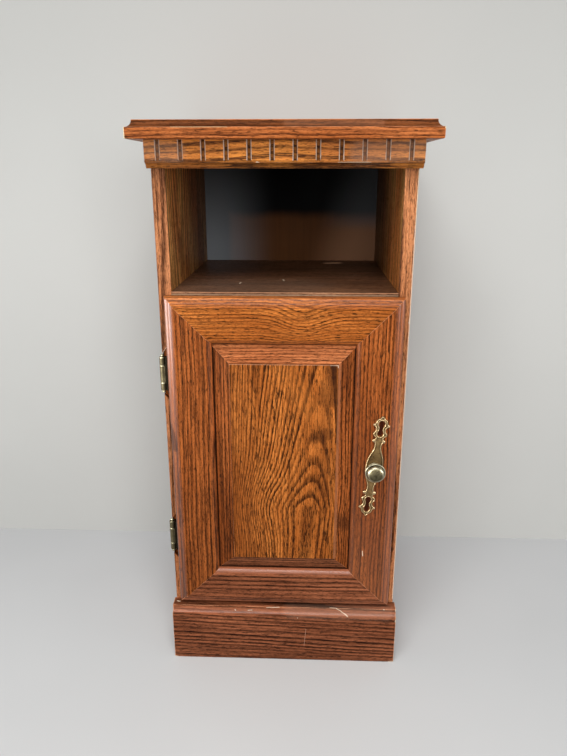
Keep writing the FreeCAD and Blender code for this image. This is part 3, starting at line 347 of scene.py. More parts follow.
@dataclass(frozen=True)
class Figures:
    """The oak's figures. A scale says how many features there are to a millimetre."""

    seed_shift: Scale = (173.0, 51.0, 917.0)
    slow_drift: Scale = (0.014, 0.014, 0.004)
    quick_drift: Scale = (0.06, 0.06, 0.013)
    waver: Scale = (0.35, 0.35, 0.03)
    ragged: Scale = (0.9, 0.9, 0.05)
    streak: Scale = (0.30, 0.30, 0.008)
    pore: Scale = (0.95, 0.95, 0.11)
    speck: Scale = (0.95, 0.95, 0.25)
    fibre: Scale = (0.6, 0.6, 0.022)
    patch: Scale = (0.02, 0.02, 0.006)
    soot: Colour = (0.003, 0.0015, 0.0008)
    lean_blend: float = 55.0


class Effects:
    """The shader node groups that several finishes share. Their lengths are millimetres."""

    def __init__(self) -> None:
        """Builds each group once."""
        self.figures = Figures()
        self.grain = self.build_grain()
        self.rub = self.build_rub()
        self.mark = self.build_mark()

    def wobble(self, graph: Graph, place: Socket, scale: Scale, size: Feed,
               detail: float = 1.0) -> Socket:
        """Makes the rings drift sideways.

        Args:
            graph: The group's graph.
            place: The place in the wood.
            scale: How quickly they drift along each axis.
            size: How far they drift.
            detail: Octaves of finer drift.

        Returns:
            The drift.
        """
        return graph.times(graph.minus(graph.noise(place, scale, detail), 0.5), size)

    def count_rings(self, graph: Graph, given: dict[str, Socket], place: Socket) -> Socket:
        """Counts the rings from the pith to every place.

        Args:
            graph: The group's graph.
            given: The group's inputs by name.
            place: The place in the wood, shifted by the seed.

        Returns:
            The number of rings, with uneven widths.
        """
        calc, times, plus, minus = graph.math, graph.times, graph.plus, graph.minus
        figures = self.figures
        across, deep, along = graph.split(given["Place"])
        drift = plus(self.wobble(graph, place, figures.slow_drift, given["Wander"]),
                     self.wobble(graph, place, figures.quick_drift, times(given["Wander"], 0.4)))
        drift = plus(drift, self.wobble(graph, place, figures.waver, 1.5, 2.0))

        # A swell pushes the rings sideways about one spot.
        far_across = calc("DIVIDE", minus(across, given["Swell across"]), given["Swell width"])
        far_along = calc("DIVIDE", minus(along, given["Swell along"]), given["Swell length"])
        distance = plus(times(far_across, far_across), times(far_along, far_along))
        swell = times(calc("EXPONENT", times(distance, -1.0)), given["Swell push"])

        # The pith leans sideways, and slopes through the board above and below its own place.
        height = minus(along, given["Pith along"])
        sideways = minus(across, given["Pith across"])
        inward = plus(sideways, given["Pith lean width"])
        leaning = times(graph.ease(inward, 0.0, figures.lean_blend), given["Pith lean"])
        sideways = minus(sideways, times(height, leaning))
        sideways = minus(plus(sideways, drift), swell)
        above = calc("DIVIDE", calc("MAXIMUM", height, 0.0), given["Pith reach"])
        rise = minus(1.0, calc("EXPONENT", times(above, -1.0)))
        rise = times(rise, times(given["Pith slope up"], given["Pith reach"]))
        fall = times(calc("MINIMUM", height, 0.0), given["Pith slope down"])
        depth = plus(minus(deep, given["Pith deep"]), minus(rise, fall))

        # The rings lie evenly around the pith, and then each gets a width of its own.
        radius = calc("SQRT", plus(times(sideways, sideways), times(depth, depth)))
        rings = calc("DIVIDE", radius, given["Ring"])
        uneven = graph.noise_along(calc("MULTIPLY_ADD", rings, 0.31, times(given["Seed"], 31.0)))
        return calc("MULTIPLY_ADD", uneven, 0.9, rings)

    def build_grain(self) -> NodeTree:
        """Builds stained oak: rings around a pith, pores, fibres and uneven stain.

        Returns:
            The group.
        """
        numbers = (*labelled("Pith", Pith()), *labelled("Swell", Swell()), "Ring", "Wander",
                   "Band", "Contrast", "Streak", "Pores", "Seed")
        inputs = {"Place": "Vector"} | dict.fromkeys(numbers, "Float")
        inputs |= dict.fromkeys(("Light", "Middle", "Dark"), "Color")
        graph, given, leave = new_group("oak grain", inputs, {
            "Color": "Color", "Roughness": "Float", "Height": "Float"})
        calc, times, ease = graph.math, graph.times, graph.ease
        figures = self.figures
        shift = graph.vector("MULTIPLY", graph.join(*[given["Seed"]] * 3), figures.seed_shift)
        place = graph.vector("ADD", given["Place"], shift.outputs[0]).outputs[0]

        # Late wood darkens one side of each ring, more in some rings, and ragged along it.
        rings = self.count_rings(graph, given, place)
        phase = calc("FRACT", rings)
        band = times(ease(phase, 0.25, given["Band"], 1.0, 0.0), ease(phase, 0.0, 0.12))
        own = graph.noise_along(times(calc("FLOOR", rings), 3.77))
        band = times(band, ease(own, 0.3, 0.6, 0.55, 1.0))
        ragged = graph.noise(place, figures.ragged, 2.0, 0.6)
        band = times(band, ease(ragged, 0.34, 0.56, 0.5, 1.0))
        broad = graph.noise(place, figures.streak, 3.0, 0.65)
        streak = times(ease(broad, 0.49, 0.62), given["Streak"])
        band = calc("MAXIMUM", times(band, given["Contrast"]), streak)

        # Pores, specks and fibres are drawn out along the grain, and the stain is patchy.
        limit = calc("MULTIPLY_ADD", band, -0.10, 0.57)
        short = graph.noise(place, figures.pore, 2.0, 0.6)
        pore = ease(short, limit, graph.plus(limit, 0.08))
        speck = ease(graph.noise(place, figures.speck, 2.0, 0.75), 0.46, 0.64)
        long = graph.noise(place, figures.fibre, 2.0)
        fibre = ease(long, 0.38, 0.66)
        patch = ease(graph.noise(place, figures.patch, 2.0), 0.35, 0.65)

        # The colours are laid from the palest to the darkest.
        colour = graph.mix(times(patch, 0.6), given["Light"], given["Middle"])
        colour = graph.mix(times(fibre, 0.6), colour, given["Middle"])
        colour = graph.mix(band, colour, given["Dark"])
        soot = graph.mix(0.6, given["Dark"], figures.soot)
        colour = graph.mix(times(speck, times(given["Pores"], 0.5)), colour, soot)
        colour = graph.mix(times(pore, given["Pores"]), colour, soot)
        rough = calc("MULTIPLY_ADD", pore, 0.15, calc("MULTIPLY_ADD", band, 0.06, 0.34))
        relief = calc("MULTIPLY_ADD", pore, -0.6, times(band, -0.4))
        graph.fill(leave, {"Color": colour, "Roughness": rough,
                           "Height": calc("MULTIPLY_ADD", long, 0.2, relief)})
        return graph.tree

    def build_rub(self) -> NodeTree:
        """Builds the mask of a rubbed arris, from how worn the mesh says that it is.

        Returns:
            The group.
        """
        graph, given, leave = new_group("rubbed arris", {
            "Place": "Vector", "Worn": "Float", "Amount": "Float"}, {"Mask": "Float"})
        coarse = graph.noise(given["Place"], (0.09, 0.09, 0.09), 2.0)
        fine = graph.noise(given["Place"], (0.8, 0.8, 0.8), 2.0)
        patchy = graph.math("MULTIPLY_ADD", coarse, 1.1, graph.times(fine, 0.5))
        reach = graph.times(given["Worn"], graph.plus(patchy, 0.15))
        mask = graph.ease(reach, 0.5, 0.95)
        graph.feed(leave.inputs["Mask"], graph.times(mask, given["Amount"]))
        return graph.tree

    def build_mark(self) -> NodeTree:
        """Builds the mask of one chip or scratch, which runs from one point to another.

        Returns:
            The group.
        """
        graph, given, leave = new_group("chip or scratch", {
            "Place": "Vector", "From": "Vector", "To": "Vector", "Width": "Float",
            "Strength": "Float"}, {"Mask": "Float"})
        run = graph.vector("SUBTRACT", given["To"], given["From"]).outputs[0]
        here = graph.vector("SUBTRACT", given["Place"], given["From"]).outputs[0]
        square = graph.plus(graph.vector("DOT_PRODUCT", run, run).outputs[1], 0.0001)
        share = graph.math("DIVIDE", graph.vector("DOT_PRODUCT", here, run).outputs[1], square)
        share = graph.math("MINIMUM", graph.math("MAXIMUM", share, 0.0), 1.0)
        nearest = graph.vector("MULTIPLY", run, graph.join(share, share, share)).outputs[0]
        away = graph.vector("LENGTH", graph.vector("SUBTRACT", here, nearest).outputs[0])
        ragged = graph.noise(given["Place"], (0.9, 0.9, 0.9), 2.0)
        edge = graph.times(given["Width"], graph.plus(ragged, 0.25))
        mask = graph.ease(away.outputs[1], graph.times(edge, 0.35), edge, 1.0, 0.0)
        graph.feed(leave.inputs["Mask"], graph.times(mask, given["Strength"]))
        return graph.tree


# Finishes


class Lie(Enum):
    """How a board lies: the axes across its face, through it and along its grain."""

    UPRIGHT = "XYZ"
    RAIL = "ZYX"
    SIDE = "YXZ"
    LEVEL = "YZX"


@dataclass(frozen=True)
class Pith:
    """Where the middle of a board's rings lies and how the board is cut through them."""

    across: float = 400.0
    deep: float = 0.0
    along: float = 0.0
    slope_up: float = 0.03
    slope_down: float = 0.03
    reach: float = 2000.0
    lean: float = 0.0
    lean_width: float = 5000.0


@dataclass(frozen=True)
class Swell:
    """A place where the rings bulge sideways."""

    across: float = 0.0
    along: float = 0.0
    width: float = 50.0
    length: float = 50.0
    push: float = 0.0


def labelled(label: str, facts: Pith | Swell) -> dict[str, float]:
    """Names the values of a pith or a swell as the grain group's inputs are named.

    Args:
        label: The word that every name begins with.
        facts: The values.

    Returns:
        The values by name.
    """
    return {label + " " + name.replace("_", " "): value for name, value in asdict(facts).items()}


@dataclass(frozen=True)
class Stain:
    """The three colours of a stained board: early wood, ground and late wood."""

    light: Colour
    middle: Colour
    dark: Colour


RAW = painted(226, 204, 176)
AMBER = Stain(painted(222, 132, 60), painted(156, 78, 26), painted(44, 16, 4))
CHESTNUT = Stain(painted(192, 106, 50), painted(130, 62, 24), painted(38, 13, 4))
RUSSET = Stain(painted(174, 104, 70), painted(122, 67, 41), painted(40, 16, 8))
UMBER = Stain(painted(122, 80, 54), painted(80, 49, 30), painted(24, 12, 7))
FADED = Stain(painted(215, 143, 95), painted(163, 95, 55), painted(60, 25, 11))
DUSTY = Stain(painted(150, 104, 74), painted(72, 44, 27), painted(20, 10, 6))
# Painted sheen: the pale colour that polished mouldings are lightened towards.
PAINTED_SHEEN = painted(196, 118, 82)
# Grime and painted shade: the dark brown of grime, of shaded grooves, and of the painted shade at
# the foot and at the back.
GRIME_AND_SHADE = painted(24, 11, 6)


@dataclass(frozen=True)
class Mark:
    """A chip or scratch in the finish, from one point to another, in millimetres."""

    start: Place
    end: Place
    width: float = 1.0
    colour: Colour = RAW
    strength: float = 1.0


class Face(Enum):
    """The way that a flat face looks, as the number of the axis that it stands off."""

    FRONT = 1
    TOP = 2

    def lay(self, place: float, *strokes: tuple) -> tuple[Mark, ...]:
        """Lays marks on a face that looks this way.

        Args:
            place: The face's place on its axis.
            *strokes: What makes each mark, its two ends with the face's own two axes alone.

        Returns:
            The marks.
        """
        return tuple(Mark(*((*end[:self.value], place, *end[self.value:])
                            for end in stroke[:2]), *stroke[2:]) for stroke in strokes)


@dataclass(frozen=True)
class Oak:
    """One board's stained and lacquered oak."""

    name: str
    lie: Lie
    stain: Stain = AMBER
    pith: Pith = Pith()
    swell: Swell = Swell()
    ring: float = 5.0
    wander: float = 7.0
    band: float = 0.6
    contrast: float = 0.9
    streak: float = 0.35
    pores: float = 0.7
    seed: float = 1.0
    rubbed: Colour = painted(226, 160, 118)
    rub: float = 0.75
    front: Stain | None = None
    front_place: float = -126.2
    inner: Stain | None = None
    inner_place: float = 144.5
    # Painted shade: the colour darkens towards the foot by this much, towards this colour, over
    # these heights.
    dusk: float = 0.0
    dusk_colour: Colour = GRIME_AND_SHADE
    dusk_reach: Span = (90.0, 430.0)
    # Painted shade: the inner faces darken towards the back by this much, over these depths.
    smoke: float = 0.0
    smoke_reach: Span = (-80.0, 120.0)
    # Painted sheen: polished mouldings are lightened by this much, less so low down, from this
    # height over this rise.
    moulded: float = 0.5
    moulded_from: float = -500.0
    moulded_rise: float = 190.0
    gloss: float = 0.06
    gloss_tint: Colour = (1.0, 0.60, 0.38)
    coat: float = 0.95
    coat_least: float = 0.01
    coat_rough: float = 0.25
    relief: float = 0.0004
    marks: tuple[Mark, ...] = ()

    def inner_share(self, graph: Graph, across: Socket) -> Socket:
        """Masks a side panel's inner face.

        Args:
            graph: The material's graph.
            across: The place across the cabinet.

        Returns:
            1 on the inner face and 0 beyond it.
        """
        return graph.ease(graph.math("ABSOLUTE", across), self.inner_place - 0.5,
                          self.inner_place + 0.5, 1.0, 0.0)

    def tones(self, graph: Graph, across: Socket, deep: Socket) -> dict[str, Feed]:
        """Lays the stain, and the other stains of an inner face and of a front edge.

        Args:
            graph: The material's graph.
            across: The place across the cabinet.
            deep: The place along the cabinet's depth.

        Returns:
            The three colours by the grain group's inputs.
        """
        tones: list[Feed] = list(astuple(self.stain))
        if self.inner:
            share = self.inner_share(graph, across)
            tones = [graph.mix(share, *pair) for pair in zip(tones, astuple(self.inner))]
        if self.front:
            share = graph.ease(deep, self.front_place - 0.3, self.front_place + 0.3, 1.0, 0.0)
            tones = [graph.mix(share, *pair) for pair in zip(tones, astuple(self.front))]
        return dict(zip(("Light", "Middle", "Dark"), tones))

    def material(self, effects: Effects) -> Material:
        """Makes the board's material.

        Args:
            effects: The shared node groups.

        Returns:
            The material.
        """
        material, graph, shader = new_material(self.name)
        place = graph.fine_place()
        parts = dict(zip("XYZ", graph.split(place)))
        grain = graph.use(effects.grain, {
            "Place": graph.join(*(parts[letter] for letter in self.lie.value)),
            "Ring": self.ring, "Wander": self.wander, "Band": self.band,
            "Contrast": self.contrast, "Streak": self.streak, "Pores": self.pores,
            "Seed": self.seed, **labelled("Pith", self.pith), **labelled("Swell", self.swell),
            **self.tones(graph, parts["X"], parts["Y"])})
        colour = grain.outputs["Color"]
        # Painted shade: darker towards the foot.
        if self.dusk:
            low = graph.ease(parts["Z"], *self.dusk_reach, self.dusk, 0.0)
            colour = graph.mix(low, colour, self.dusk_colour)
        # Painted shade: the inner faces of a side panel darken towards the back of the niche.
        if self.smoke:
            painted_back_shade = graph.times(self.inner_share(graph, parts["X"]),
                                 graph.ease(parts["Y"], *self.smoke_reach, 0.0, self.smoke))
            colour = graph.mix(painted_back_shade, colour, GRIME_AND_SHADE)
        # Painted sheen: polished mouldings are lightened, less so low down; the coat below is real
        # gloss.
        polish = graph.read("polish")
        tint = graph.ease(parts["Z"], self.moulded_from, self.moulded_from + self.moulded_rise,
                          self.moulded * 0.2, self.moulded)
        colour = graph.mix(graph.times(polish, tint), colour, PAINTED_SHEEN)
        rub = graph.use(effects.rub, {"Place": place, "Worn": graph.read("worn"),
                                      "Amount": self.rub}).outputs["Mask"]
        colour = graph.mix(rub, colour, self.rubbed)
        # Grime, and painted shade in grooves and gaps, darken the colour.
        colour = graph.mix(graph.read("soiling_and_shade"), colour, GRIME_AND_SHADE)
        for mark in self.marks:
            spot = graph.use(effects.mark, {"Place": place, "From": mark.start, "To": mark.end,
                                            "Width": mark.width, "Strength": mark.strength})
            colour = graph.mix(spot.outputs["Mask"], colour, mark.colour)
        graph.fill(shader, {
            "Base Color": colour,
            "Roughness": graph.math("MULTIPLY_ADD", rub, 0.2, grain.outputs["Roughness"]),
            "Coat Weight": graph.math("MULTIPLY_ADD", polish, self.coat, self.coat_least),
            "Coat Roughness": self.coat_rough, "Specular IOR Level": self.gloss,
            "Specular Tint": self.gloss_tint})
        add_bump(graph, shader, grain.outputs["Height"], self.relief, 0.5)
        return material


@dataclass(frozen=True)
class AgedBrass:
    """Brass that has browned in its hollows and stays bright where it is rubbed."""

    name: str = "antique brass"
    bright: Colour = painted(188, 162, 124)
    dull: Colour = painted(132, 107, 70)
    brown: Colour = painted(72, 52, 32)
    black: Colour = painted(18, 14, 9)

    def material(self, effects: Effects) -> Material:
        """Makes the brass: bright where the mesh is worn, which on the knob is also a painted
        highlight, and black where it carries grime and painted shade.

        Args:
            effects: The shared node groups.

        Returns:
            The material.
        """
        material, graph, shader = new_material(self.name)
        place = graph.fine_place()
        cloud = graph.noise(place, (0.14, 0.14, 0.14), 3.0, 0.6)
        speck = graph.noise(place, (0.9, 0.9, 0.9), 2.0, 0.6)
        tone = graph.math("MULTIPLY_ADD", speck, 0.35, graph.times(cloud, 0.65))
        tone = graph.plus(tone, graph.math("MULTIPLY_ADD", graph.read("worn"), 0.6, -0.22))
        colour = graph.mix(graph.ease(tone, 0.1, 0.45), self.brown, self.dull)
        colour = graph.mix(graph.ease(tone, 0.42, 0.85), colour, self.bright)
        # Grime, and painted shade in the hinges' gaps and on the plate's side walls, turn the brass
        # black.
        colour = graph.mix(graph.read("soiling_and_shade"), colour, self.black)
        graph.fill(shader, {"Base Color": colour, "Metallic": 1.0,
                            "Roughness": graph.ease(tone, 0.0, 0.9, 0.52, 0.3)})
        add_bump(graph, shader, speck, 0.00006, 0.4)
        return material


@dataclass(frozen=True)
class BackBoardWithPaintedLight:
    """The back board, in metres: brown under a painted shadow and painted reflections in the niche,
    plain elsewhere.
    """

    brown: Colour = painted(86, 52, 26)
    brown_streak: Colour = painted(50, 28, 13)
    # Painted shadow: the black of the niche's upper part and left side, where shade falls.
    black: Colour = painted(3, 2, 2)
    # Painted reflections: a grey haze on the left, and a tan one that turns grey higher up on the
    # right.
    grey: Colour = painted(134, 138, 142)
    tan: Colour = painted(164, 120, 90)
    plain: Colour = painted(124, 92, 64)
    plain_streak: Colour = painted(96, 68, 46)
    # Where the painted shadow begins, above a line and left of a line, and how softly.
    line: float = 0.591
    line_blend: float = 0.02
    left: float = -0.098
    left_blend: float = 0.006
    shelf: float = 0.521
    face: float = 0.1668
    # Where the painted reflections lie and how strong they are, low and high.
    left_haze: Span = (-0.15, -0.02)
    left_rise: Span = (0.50, 0.70)
    left_strength: Span = (0.88, 0.45)
    right_haze: Span = (-0.138, -0.053)
    right_slant: float = -0.3
    right_rise: Span = (0.565, 0.60)
    right_strength: Span = (0.66, 0.27)
    gloss: float = 0.03

    def material(self) -> Material:
        """Makes the board's material.

        Returns:
            The material.
        """
        material, graph, shader = new_material("back board with painted shadow and reflections")
        place = graph.place()
        across, deep, height = graph.split(place)
        cloud = graph.noise(place, (9.0, 9.0, 4.0), 4.0, 0.6)
        streak = graph.noise(place, (260.0, 260.0, 9.0), 2.0)
        # Painted shadow: black above a wavy line and left of a line, from the shelf up.
        wavy = graph.math("MULTIPLY_ADD", cloud, self.line_blend, height)
        upper = graph.ease(wavy, self.line + 0.002, self.line + 0.002 + self.line_blend)
        side = graph.ease(across, self.left - self.left_blend, self.left + self.left_blend,
                          1.0, 0.0)
        smoke = graph.times(graph.math("MAXIMUM", upper, side),
                            graph.ease(height, self.shelf - 0.01, self.shelf))
        # Painted reflections: a grey haze on the left, and a tan to grey one on the right.
        left = graph.times(graph.ease(across, *self.left_haze, 1.0, 0.0),
                           graph.ease(height, *self.left_rise, *self.left_strength))
        slant = graph.math("MULTIPLY_ADD", height, self.right_slant, across)
        right = graph.times(graph.ease(slant, *self.right_haze),
                            graph.ease(height, *self.right_rise, *self.right_strength))
        veil = graph.mix(graph.ease(height, *self.right_rise), self.tan, self.grey)
        warm = graph.mix(graph.times(streak, 0.5), self.brown, self.brown_streak)
        shown = graph.mix(left, graph.mix(smoke, warm, self.black), self.grey)
        shown = graph.mix(right, shown, veil)
        bare = graph.mix(graph.ease(streak, 0.35, 0.7), self.plain, self.plain_streak)
        rear = graph.ease(deep, self.face, self.face + MILLIMETRE)
        graph.fill(shader, {"Base Color": graph.mix(rear, shown, bare),
                            "Roughness": graph.ease(cloud, 0.3, 0.7, 0.5, 0.62),
                            "Specular IOR Level": self.gloss})
        add_bump(graph, shader, streak, 0.0001, 0.3)
        return material


@dataclass(frozen=True)
class PlainFinish:
    """A finish of two near colours in clouds, such as steel, plastic or bare wood."""

    name: str
    colour: Colour
    cloudy: Colour
    metallic: float = 0.0
    smooth: float = 0.3
    rough: float = 0.5
    scale: Scale = (60.0, 60.0, 60.0)
    relief: float = 0.00005

    def material(self) -> Material:
        """Makes the finish.

        Returns:
            The material.
        """
        material, graph, shader = new_material(self.name)
        cloud = graph.noise(graph.place(), self.scale, 4.0, 0.6)
        colour = graph.mix(graph.ease(cloud, 0.3, 0.7), self.colour, self.cloudy)
        graph.fill(shader, {"Base Color": colour, "Metallic": self.metallic,
                            "Roughness": graph.ease(cloud, 0.3, 0.7, self.smooth, self.rough)})
        add_bump(graph, shader, cloud, self.relief, 0.4)
        return material


def put_on(piece: Object, material: Material) -> None:
    """Gives a piece one material.

    Args:
        piece: The piece.
        material: Its material.
    """
    if not piece.material_slots:
        piece.data.materials.append(material)
    for slot in piece.material_slots:
        slot.material = material


# Shapes


@dataclass(frozen=True)
class Corner:
    """A corner of a section: its place and easing, its wear, its grime and painted shade, and its
    polish and painted sheen.
    """

    across: float
    rise: float
    radius: float = 0.0
    wear: float = 0.0
    grime: float = 0.0
    polish: float = 0.0


def bend(across: float, rise: float, radius: float, start: float, end: float,
         steps: int = 6, grime: float = 0.0, polish: float = 0.0) -> list[Corner]:
    """Draws an arc as corners.

    Args:
        across: The centre's place across.
        rise: The centre's rise.
        radius: The arc's radius.
        start: The angle of its first point, in degrees.
        end: The angle of its last point.
        steps: How many runs it has.
        grime: How much grime and painted shade it holds.
        polish: How polished it is, and how much painted sheen it takes.

    Returns:
        Its points, both ends among them.
    """
    points = []
    for step in range(steps + 1):
        angle = math.radians(start + (end - start) * step / steps)
        points.append(Corner(across + radius * math.cos(angle), rise + radius * math.sin(angle),
                             0.0, 0.0, grime, polish))
    return points


# How far in the middle of an eased corner lies, as a share of its reach
ARC_INSET = 0.29


def ease_corners(corners: Sequence[Corner], guard: float = 0.8) -> list[Corner]:
    """Rounds the eased corners of a closed section, and keeps their wear narrow.

    Args:
        corners: The section's corners.
        guard: How far beyond an easing its wear reaches.

    Returns:
        The finer section.
    """
    eased: list[Corner] = []
    for index, corner in enumerate(corners):
        if corner.radius == 0.0:
            eased.append(corner)
            continue
        here = Vector((corner.across, corner.rise))
        sides = []
        for other in (corners[index - 1], corners[(index + 1) % len(corners)]):
            away = Vector((other.across, other.rise)) - here
            room = away.length * (0.45 if other.radius else 0.9)
            sides.append((away.normalized(), room))
        (before, room_before), (after, room_after) = sides
        reach = min(corner.radius, room_before, room_after)
        points = [(before * reach, 0.5), ((before + after) * reach * ARC_INSET, 1.0),
                  (after * reach, 0.5)]
        if room_before > reach + guard:
            points.insert(0, (before * (reach + guard), 0.0))
        if room_after > reach + guard:
            points.append((after * (reach + guard), 0.0))
        for away, share in points:
            across, rise = here + away
            eased.append(replace(corner, across=across, rise=rise, radius=0.0,
                                 wear=corner.wear * share))
    return eased


def shrink(section: Sequence[Corner], distance: float) -> list[Corner]:
    """Moves each point of a closed section a little way inwards.

    Args:
        section: The points in order.
        distance: How far they move.

    Returns:
        The smaller section.
    """
    area = sum(a.across * b.rise - b.across * a.rise
               for a, b in zip(section, [*section[1:], section[0]]))
    turn = 1.0 if area > 0 else -1.0
    moved = []
    for index, point in enumerate(section):
        before, after = section[index - 1], section[(index + 1) % len(section)]
        along = Vector((after.across - before.across, after.rise - before.rise)).normalized()
        moved.append(replace(point, across=point.across - along.y * distance * turn,
                             rise=point.rise + along.x * distance * turn))
    return moved


class Form:
    """Gathers the points and faces of one piece, in millimetres."""

    def __init__(self) -> None:
        """Starts empty."""
        self.points: list[Vector] = []
        self.faces: list[tuple[int, ...]] = []
        self.traits: dict[str, list[float]] = {"worn": [], "soiling_and_shade": [], "polish": []}

    def add_point(self, place: Vector, worn: float = 0.0, soiling_and_shade: float = 0.0,
                  polish: float = 0.0) -> int:
        """Adds a point.

        Args:
            place: Where it lies.
            worn: How worn the finish is there, from 0 to 1.
            soiling_and_shade: How much grime and painted shade lies there.
            polish: How polished it is, and how much painted sheen it takes.

        Returns:
            Its number.
        """
        self.points.append(place)
        for levels, level in zip(self.traits.values(), (worn, soiling_and_shade, polish)):
            levels.append(level)
        return len(self.points) - 1

    def skin(self, rows: Sequence[Sequence[int]], closed: bool) -> None:
        """Joins rows of points with faces.

        Args:
            rows: The rows, all of the same length.
            closed: Whether each row runs back to its start.
        """
        for first, second in zip(rows, rows[1:]):
            count = len(first)
            for index in range(count if closed else count - 1):
                after = (index + 1) % count
                self.faces.append((first[index], first[after], second[after], second[index]))

    def cap(self, row: Sequence[int]) -> None:
        """Closes a row of points with one face."""
        self.faces.append(tuple(row))

    def slab(self, low: Place, high: Place, ease: float, wear: float = 0.0,
             soiling_and_shade: Callable[[Vector], float] | None = None, spacing: float = 12.0) -> None:
        """Adds a block with eased arrises.

        Args:
            low: Its lowest corner.
            high: Its highest corner.
            ease: The radius of its arrises.
            wear: How worn they are.
            soiling_and_shade: Says how much grime and painted shade a place holds, from 0 to 1.
            spacing: The most that is left between points.
        """
        ticks = []
        for start, end in zip(low, high):
            inner = {start + ease, end - ease}
            if end - start > 2 * ease + 2.0:
                inner |= {start + ease + 0.8, end - ease - 0.8}
            span = end - start - 2 * ease
            count = max(1, math.ceil(span / spacing))
            inner |= {start + ease + span * step / count for step in range(1, count)}
            ticks.append([start, *sorted(inner), end])
        last = [len(line) - 1 for line in ticks]
        numbers: dict[tuple[int, ...], int] = {}

        def number(key: tuple[int, ...]) -> int:
            """Adds the point at one crossing of the three sets of lines, once.

            Args:
                key: Which line of each set crosses there.

            Returns:
                Its number.
            """
            if key not in numbers:
                place = Vector([ticks[axis][key[axis]] for axis in range(3)])
                core = Vector([min(max(place[axis], low[axis] + ease), high[axis] - ease)
                               for axis in range(3)])
                away = place - core
                edges = sum(abs(part) > 1e-9 for part in away)
                if edges > 1:
                    place = core + away.normalized() * ease
                near = edges == 1 and any(key[axis] in (1, last[axis] - 1) for axis in range(3))
                worn = wear if edges > 1 else (wear * 0.4 if near else 0.0)
                numbers[key] = self.add_point(place, worn, soiling_and_shade(place) if soiling_and_shade else 0.0)
            return numbers[key]

        for axis in range(3):
            one, two = (axis + 1) % 3, (axis + 2) % 3
            for side in (0, last[axis]):
                for i in range(last[one]):
                    for j in range(last[two]):
                        face = []
                        for step_one, step_two in ((0, 0), (1, 0), (1, 1), (0, 1)):
                            key = [0, 0, 0]
                            key[axis], key[one], key[two] = side, i + step_one, j + step_two
                            face.append(number(tuple(key)))
                        self.faces.append(tuple(face))

    def turning(self, profile: Sequence[Corner], place: Callable[[float, float, float], Vector],
                segments: int = 48, pierced: bool = False) -> None:
        """Adds a turned shape.

        Args:
            profile: Radius and rise of its outline.
            place: Gives a point from its two offsets and its rise.
            segments: How many faces it has round.
            pierced: Whether the profile closes on itself around a bore.
        """
        rows = []
        for point in profile:
            radius = max(point.across, 0.0001)
            turns = [2 * math.pi * step / segments for step in range(segments)]
            rows.append([self.add_point(place(radius * math.cos(turn), radius * math.sin(turn),
                                              point.rise), point.wear, point.grime)
                         for turn in turns])
        if pierced:
            self.skin([*rows, rows[0]], True)
        else:
            self.skin(rows, True)
            self.cap(rows[0])
            self.cap(rows[-1])

    def build(self, name: str, body: str, slot: str, replaced: str,
              material: Material, angle: float = 32.0) -> Object:
        """Makes the piece.

        Args:
            name: Its name.
            body: The body that it moves with.
            slot: The record's material slot; not used.
            replaced: The solid that it stands for.
            material: Its finish.
            angle: Edges sharper than this, in degrees, stay sharp.

        Returns:
            The piece.
        """
        mesh = bpy.data.meshes.new(name)
        mesh.from_pydata([point * MILLIMETRE for point in self.points], [], self.faces)
        for label, levels in self.traits.items():
            mesh.attributes.new(label, "FLOAT", "POINT").data.foreach_set("value", levels)
        shape = bmesh.new()
        shape.from_mesh(mesh)
        bmesh.ops.remove_doubles(shape, verts=shape.verts, dist=1e-7)
        bmesh.ops.recalc_face_normals(shape, faces=shape.faces)
        shape.to_mesh(mesh)
        shape.free()
        mesh.shade_smooth()
        mesh.set_sharp_from_angle(angle=math.radians(angle))
        piece = bpy.data.objects.new(name, mesh)
        bpy.context.scene.collection.objects.link(piece)
        put_on(piece, material)
        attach(piece, body)
        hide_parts(replaced)
        LOG.info("built %s", name)
        return piece


@dataclass(frozen=True)
class Run:
    """Where a moulded strip runs: its zero point, its three directions and its length."""

    origin: Place
    inward: Place
    forward: Place
    along: Place
    length: float
    mitred: bool = False
    end_wear: float = 0.6
    end_ease: float = 0.35
    end_guard: float = 1.3
    end_ring: float = 0.6
    mitre_guard: float = 0.9

    def at(self, point: Corner, distance: float) -> Vector:
        """Places a point of the section at a distance along the run."""
        return (Vector(self.origin) + Vector(self.inward) * point.across
                + Vector(self.forward) * point.rise + Vector(self.along) * distance)

    def sweep(self, section: Sequence[Corner], form: Form, spacing: float = 7.0) -> None:
        """Draws a section along the run, square or mitred at both ends.

        Args:
            section: Its corners as inward and forward distances.
            form: Takes the points and faces.
            spacing: The most that is left between two stations.
        """
        fine = ease_corners(section)
        small = fine if self.mitred else shrink(fine, self.end_ease)
        count = max(2, math.ceil(self.length / spacing))
        first = [0.0, self.mitre_guard] if self.mitred else [0.0, self.end_ease, self.end_guard]
        shares = [distance / self.length for distance in first]
        shares += [step / count for step in range(1, count)]
        shares += [1.0 - distance / self.length for distance in reversed(first)]
        rows = []
        for index, share in enumerate(shares):
            at_end = index in (0, len(shares) - 1)
            edge = at_end or (not self.mitred and index in (1, len(shares) - 2))
            row = []
            for point in (small if at_end else fine):
                start = point.across if self.mitred else 0.0
                reach = self.length - 2 * start
                wear = max(point.wear, self.end_wear) if edge else point.wear
                place = self.at(point, start + reach * share)
                row.append(form.add_point(place, wear, point.grime, point.polish))
            rows.append(row)
        if not self.mitred:
            ring = shrink(fine, self.end_ring)
            ends = [[form.add_point(self.at(point, reach), 0.0, point.grime) for point in ring]
                    for reach in (0.0, self.length)]
            rows = [ends[0], *rows, ends[1]]
        form.skin(rows, True)
        form.cap(rows[0])
        form.cap(rows[-1])


# The cabinet's pieces


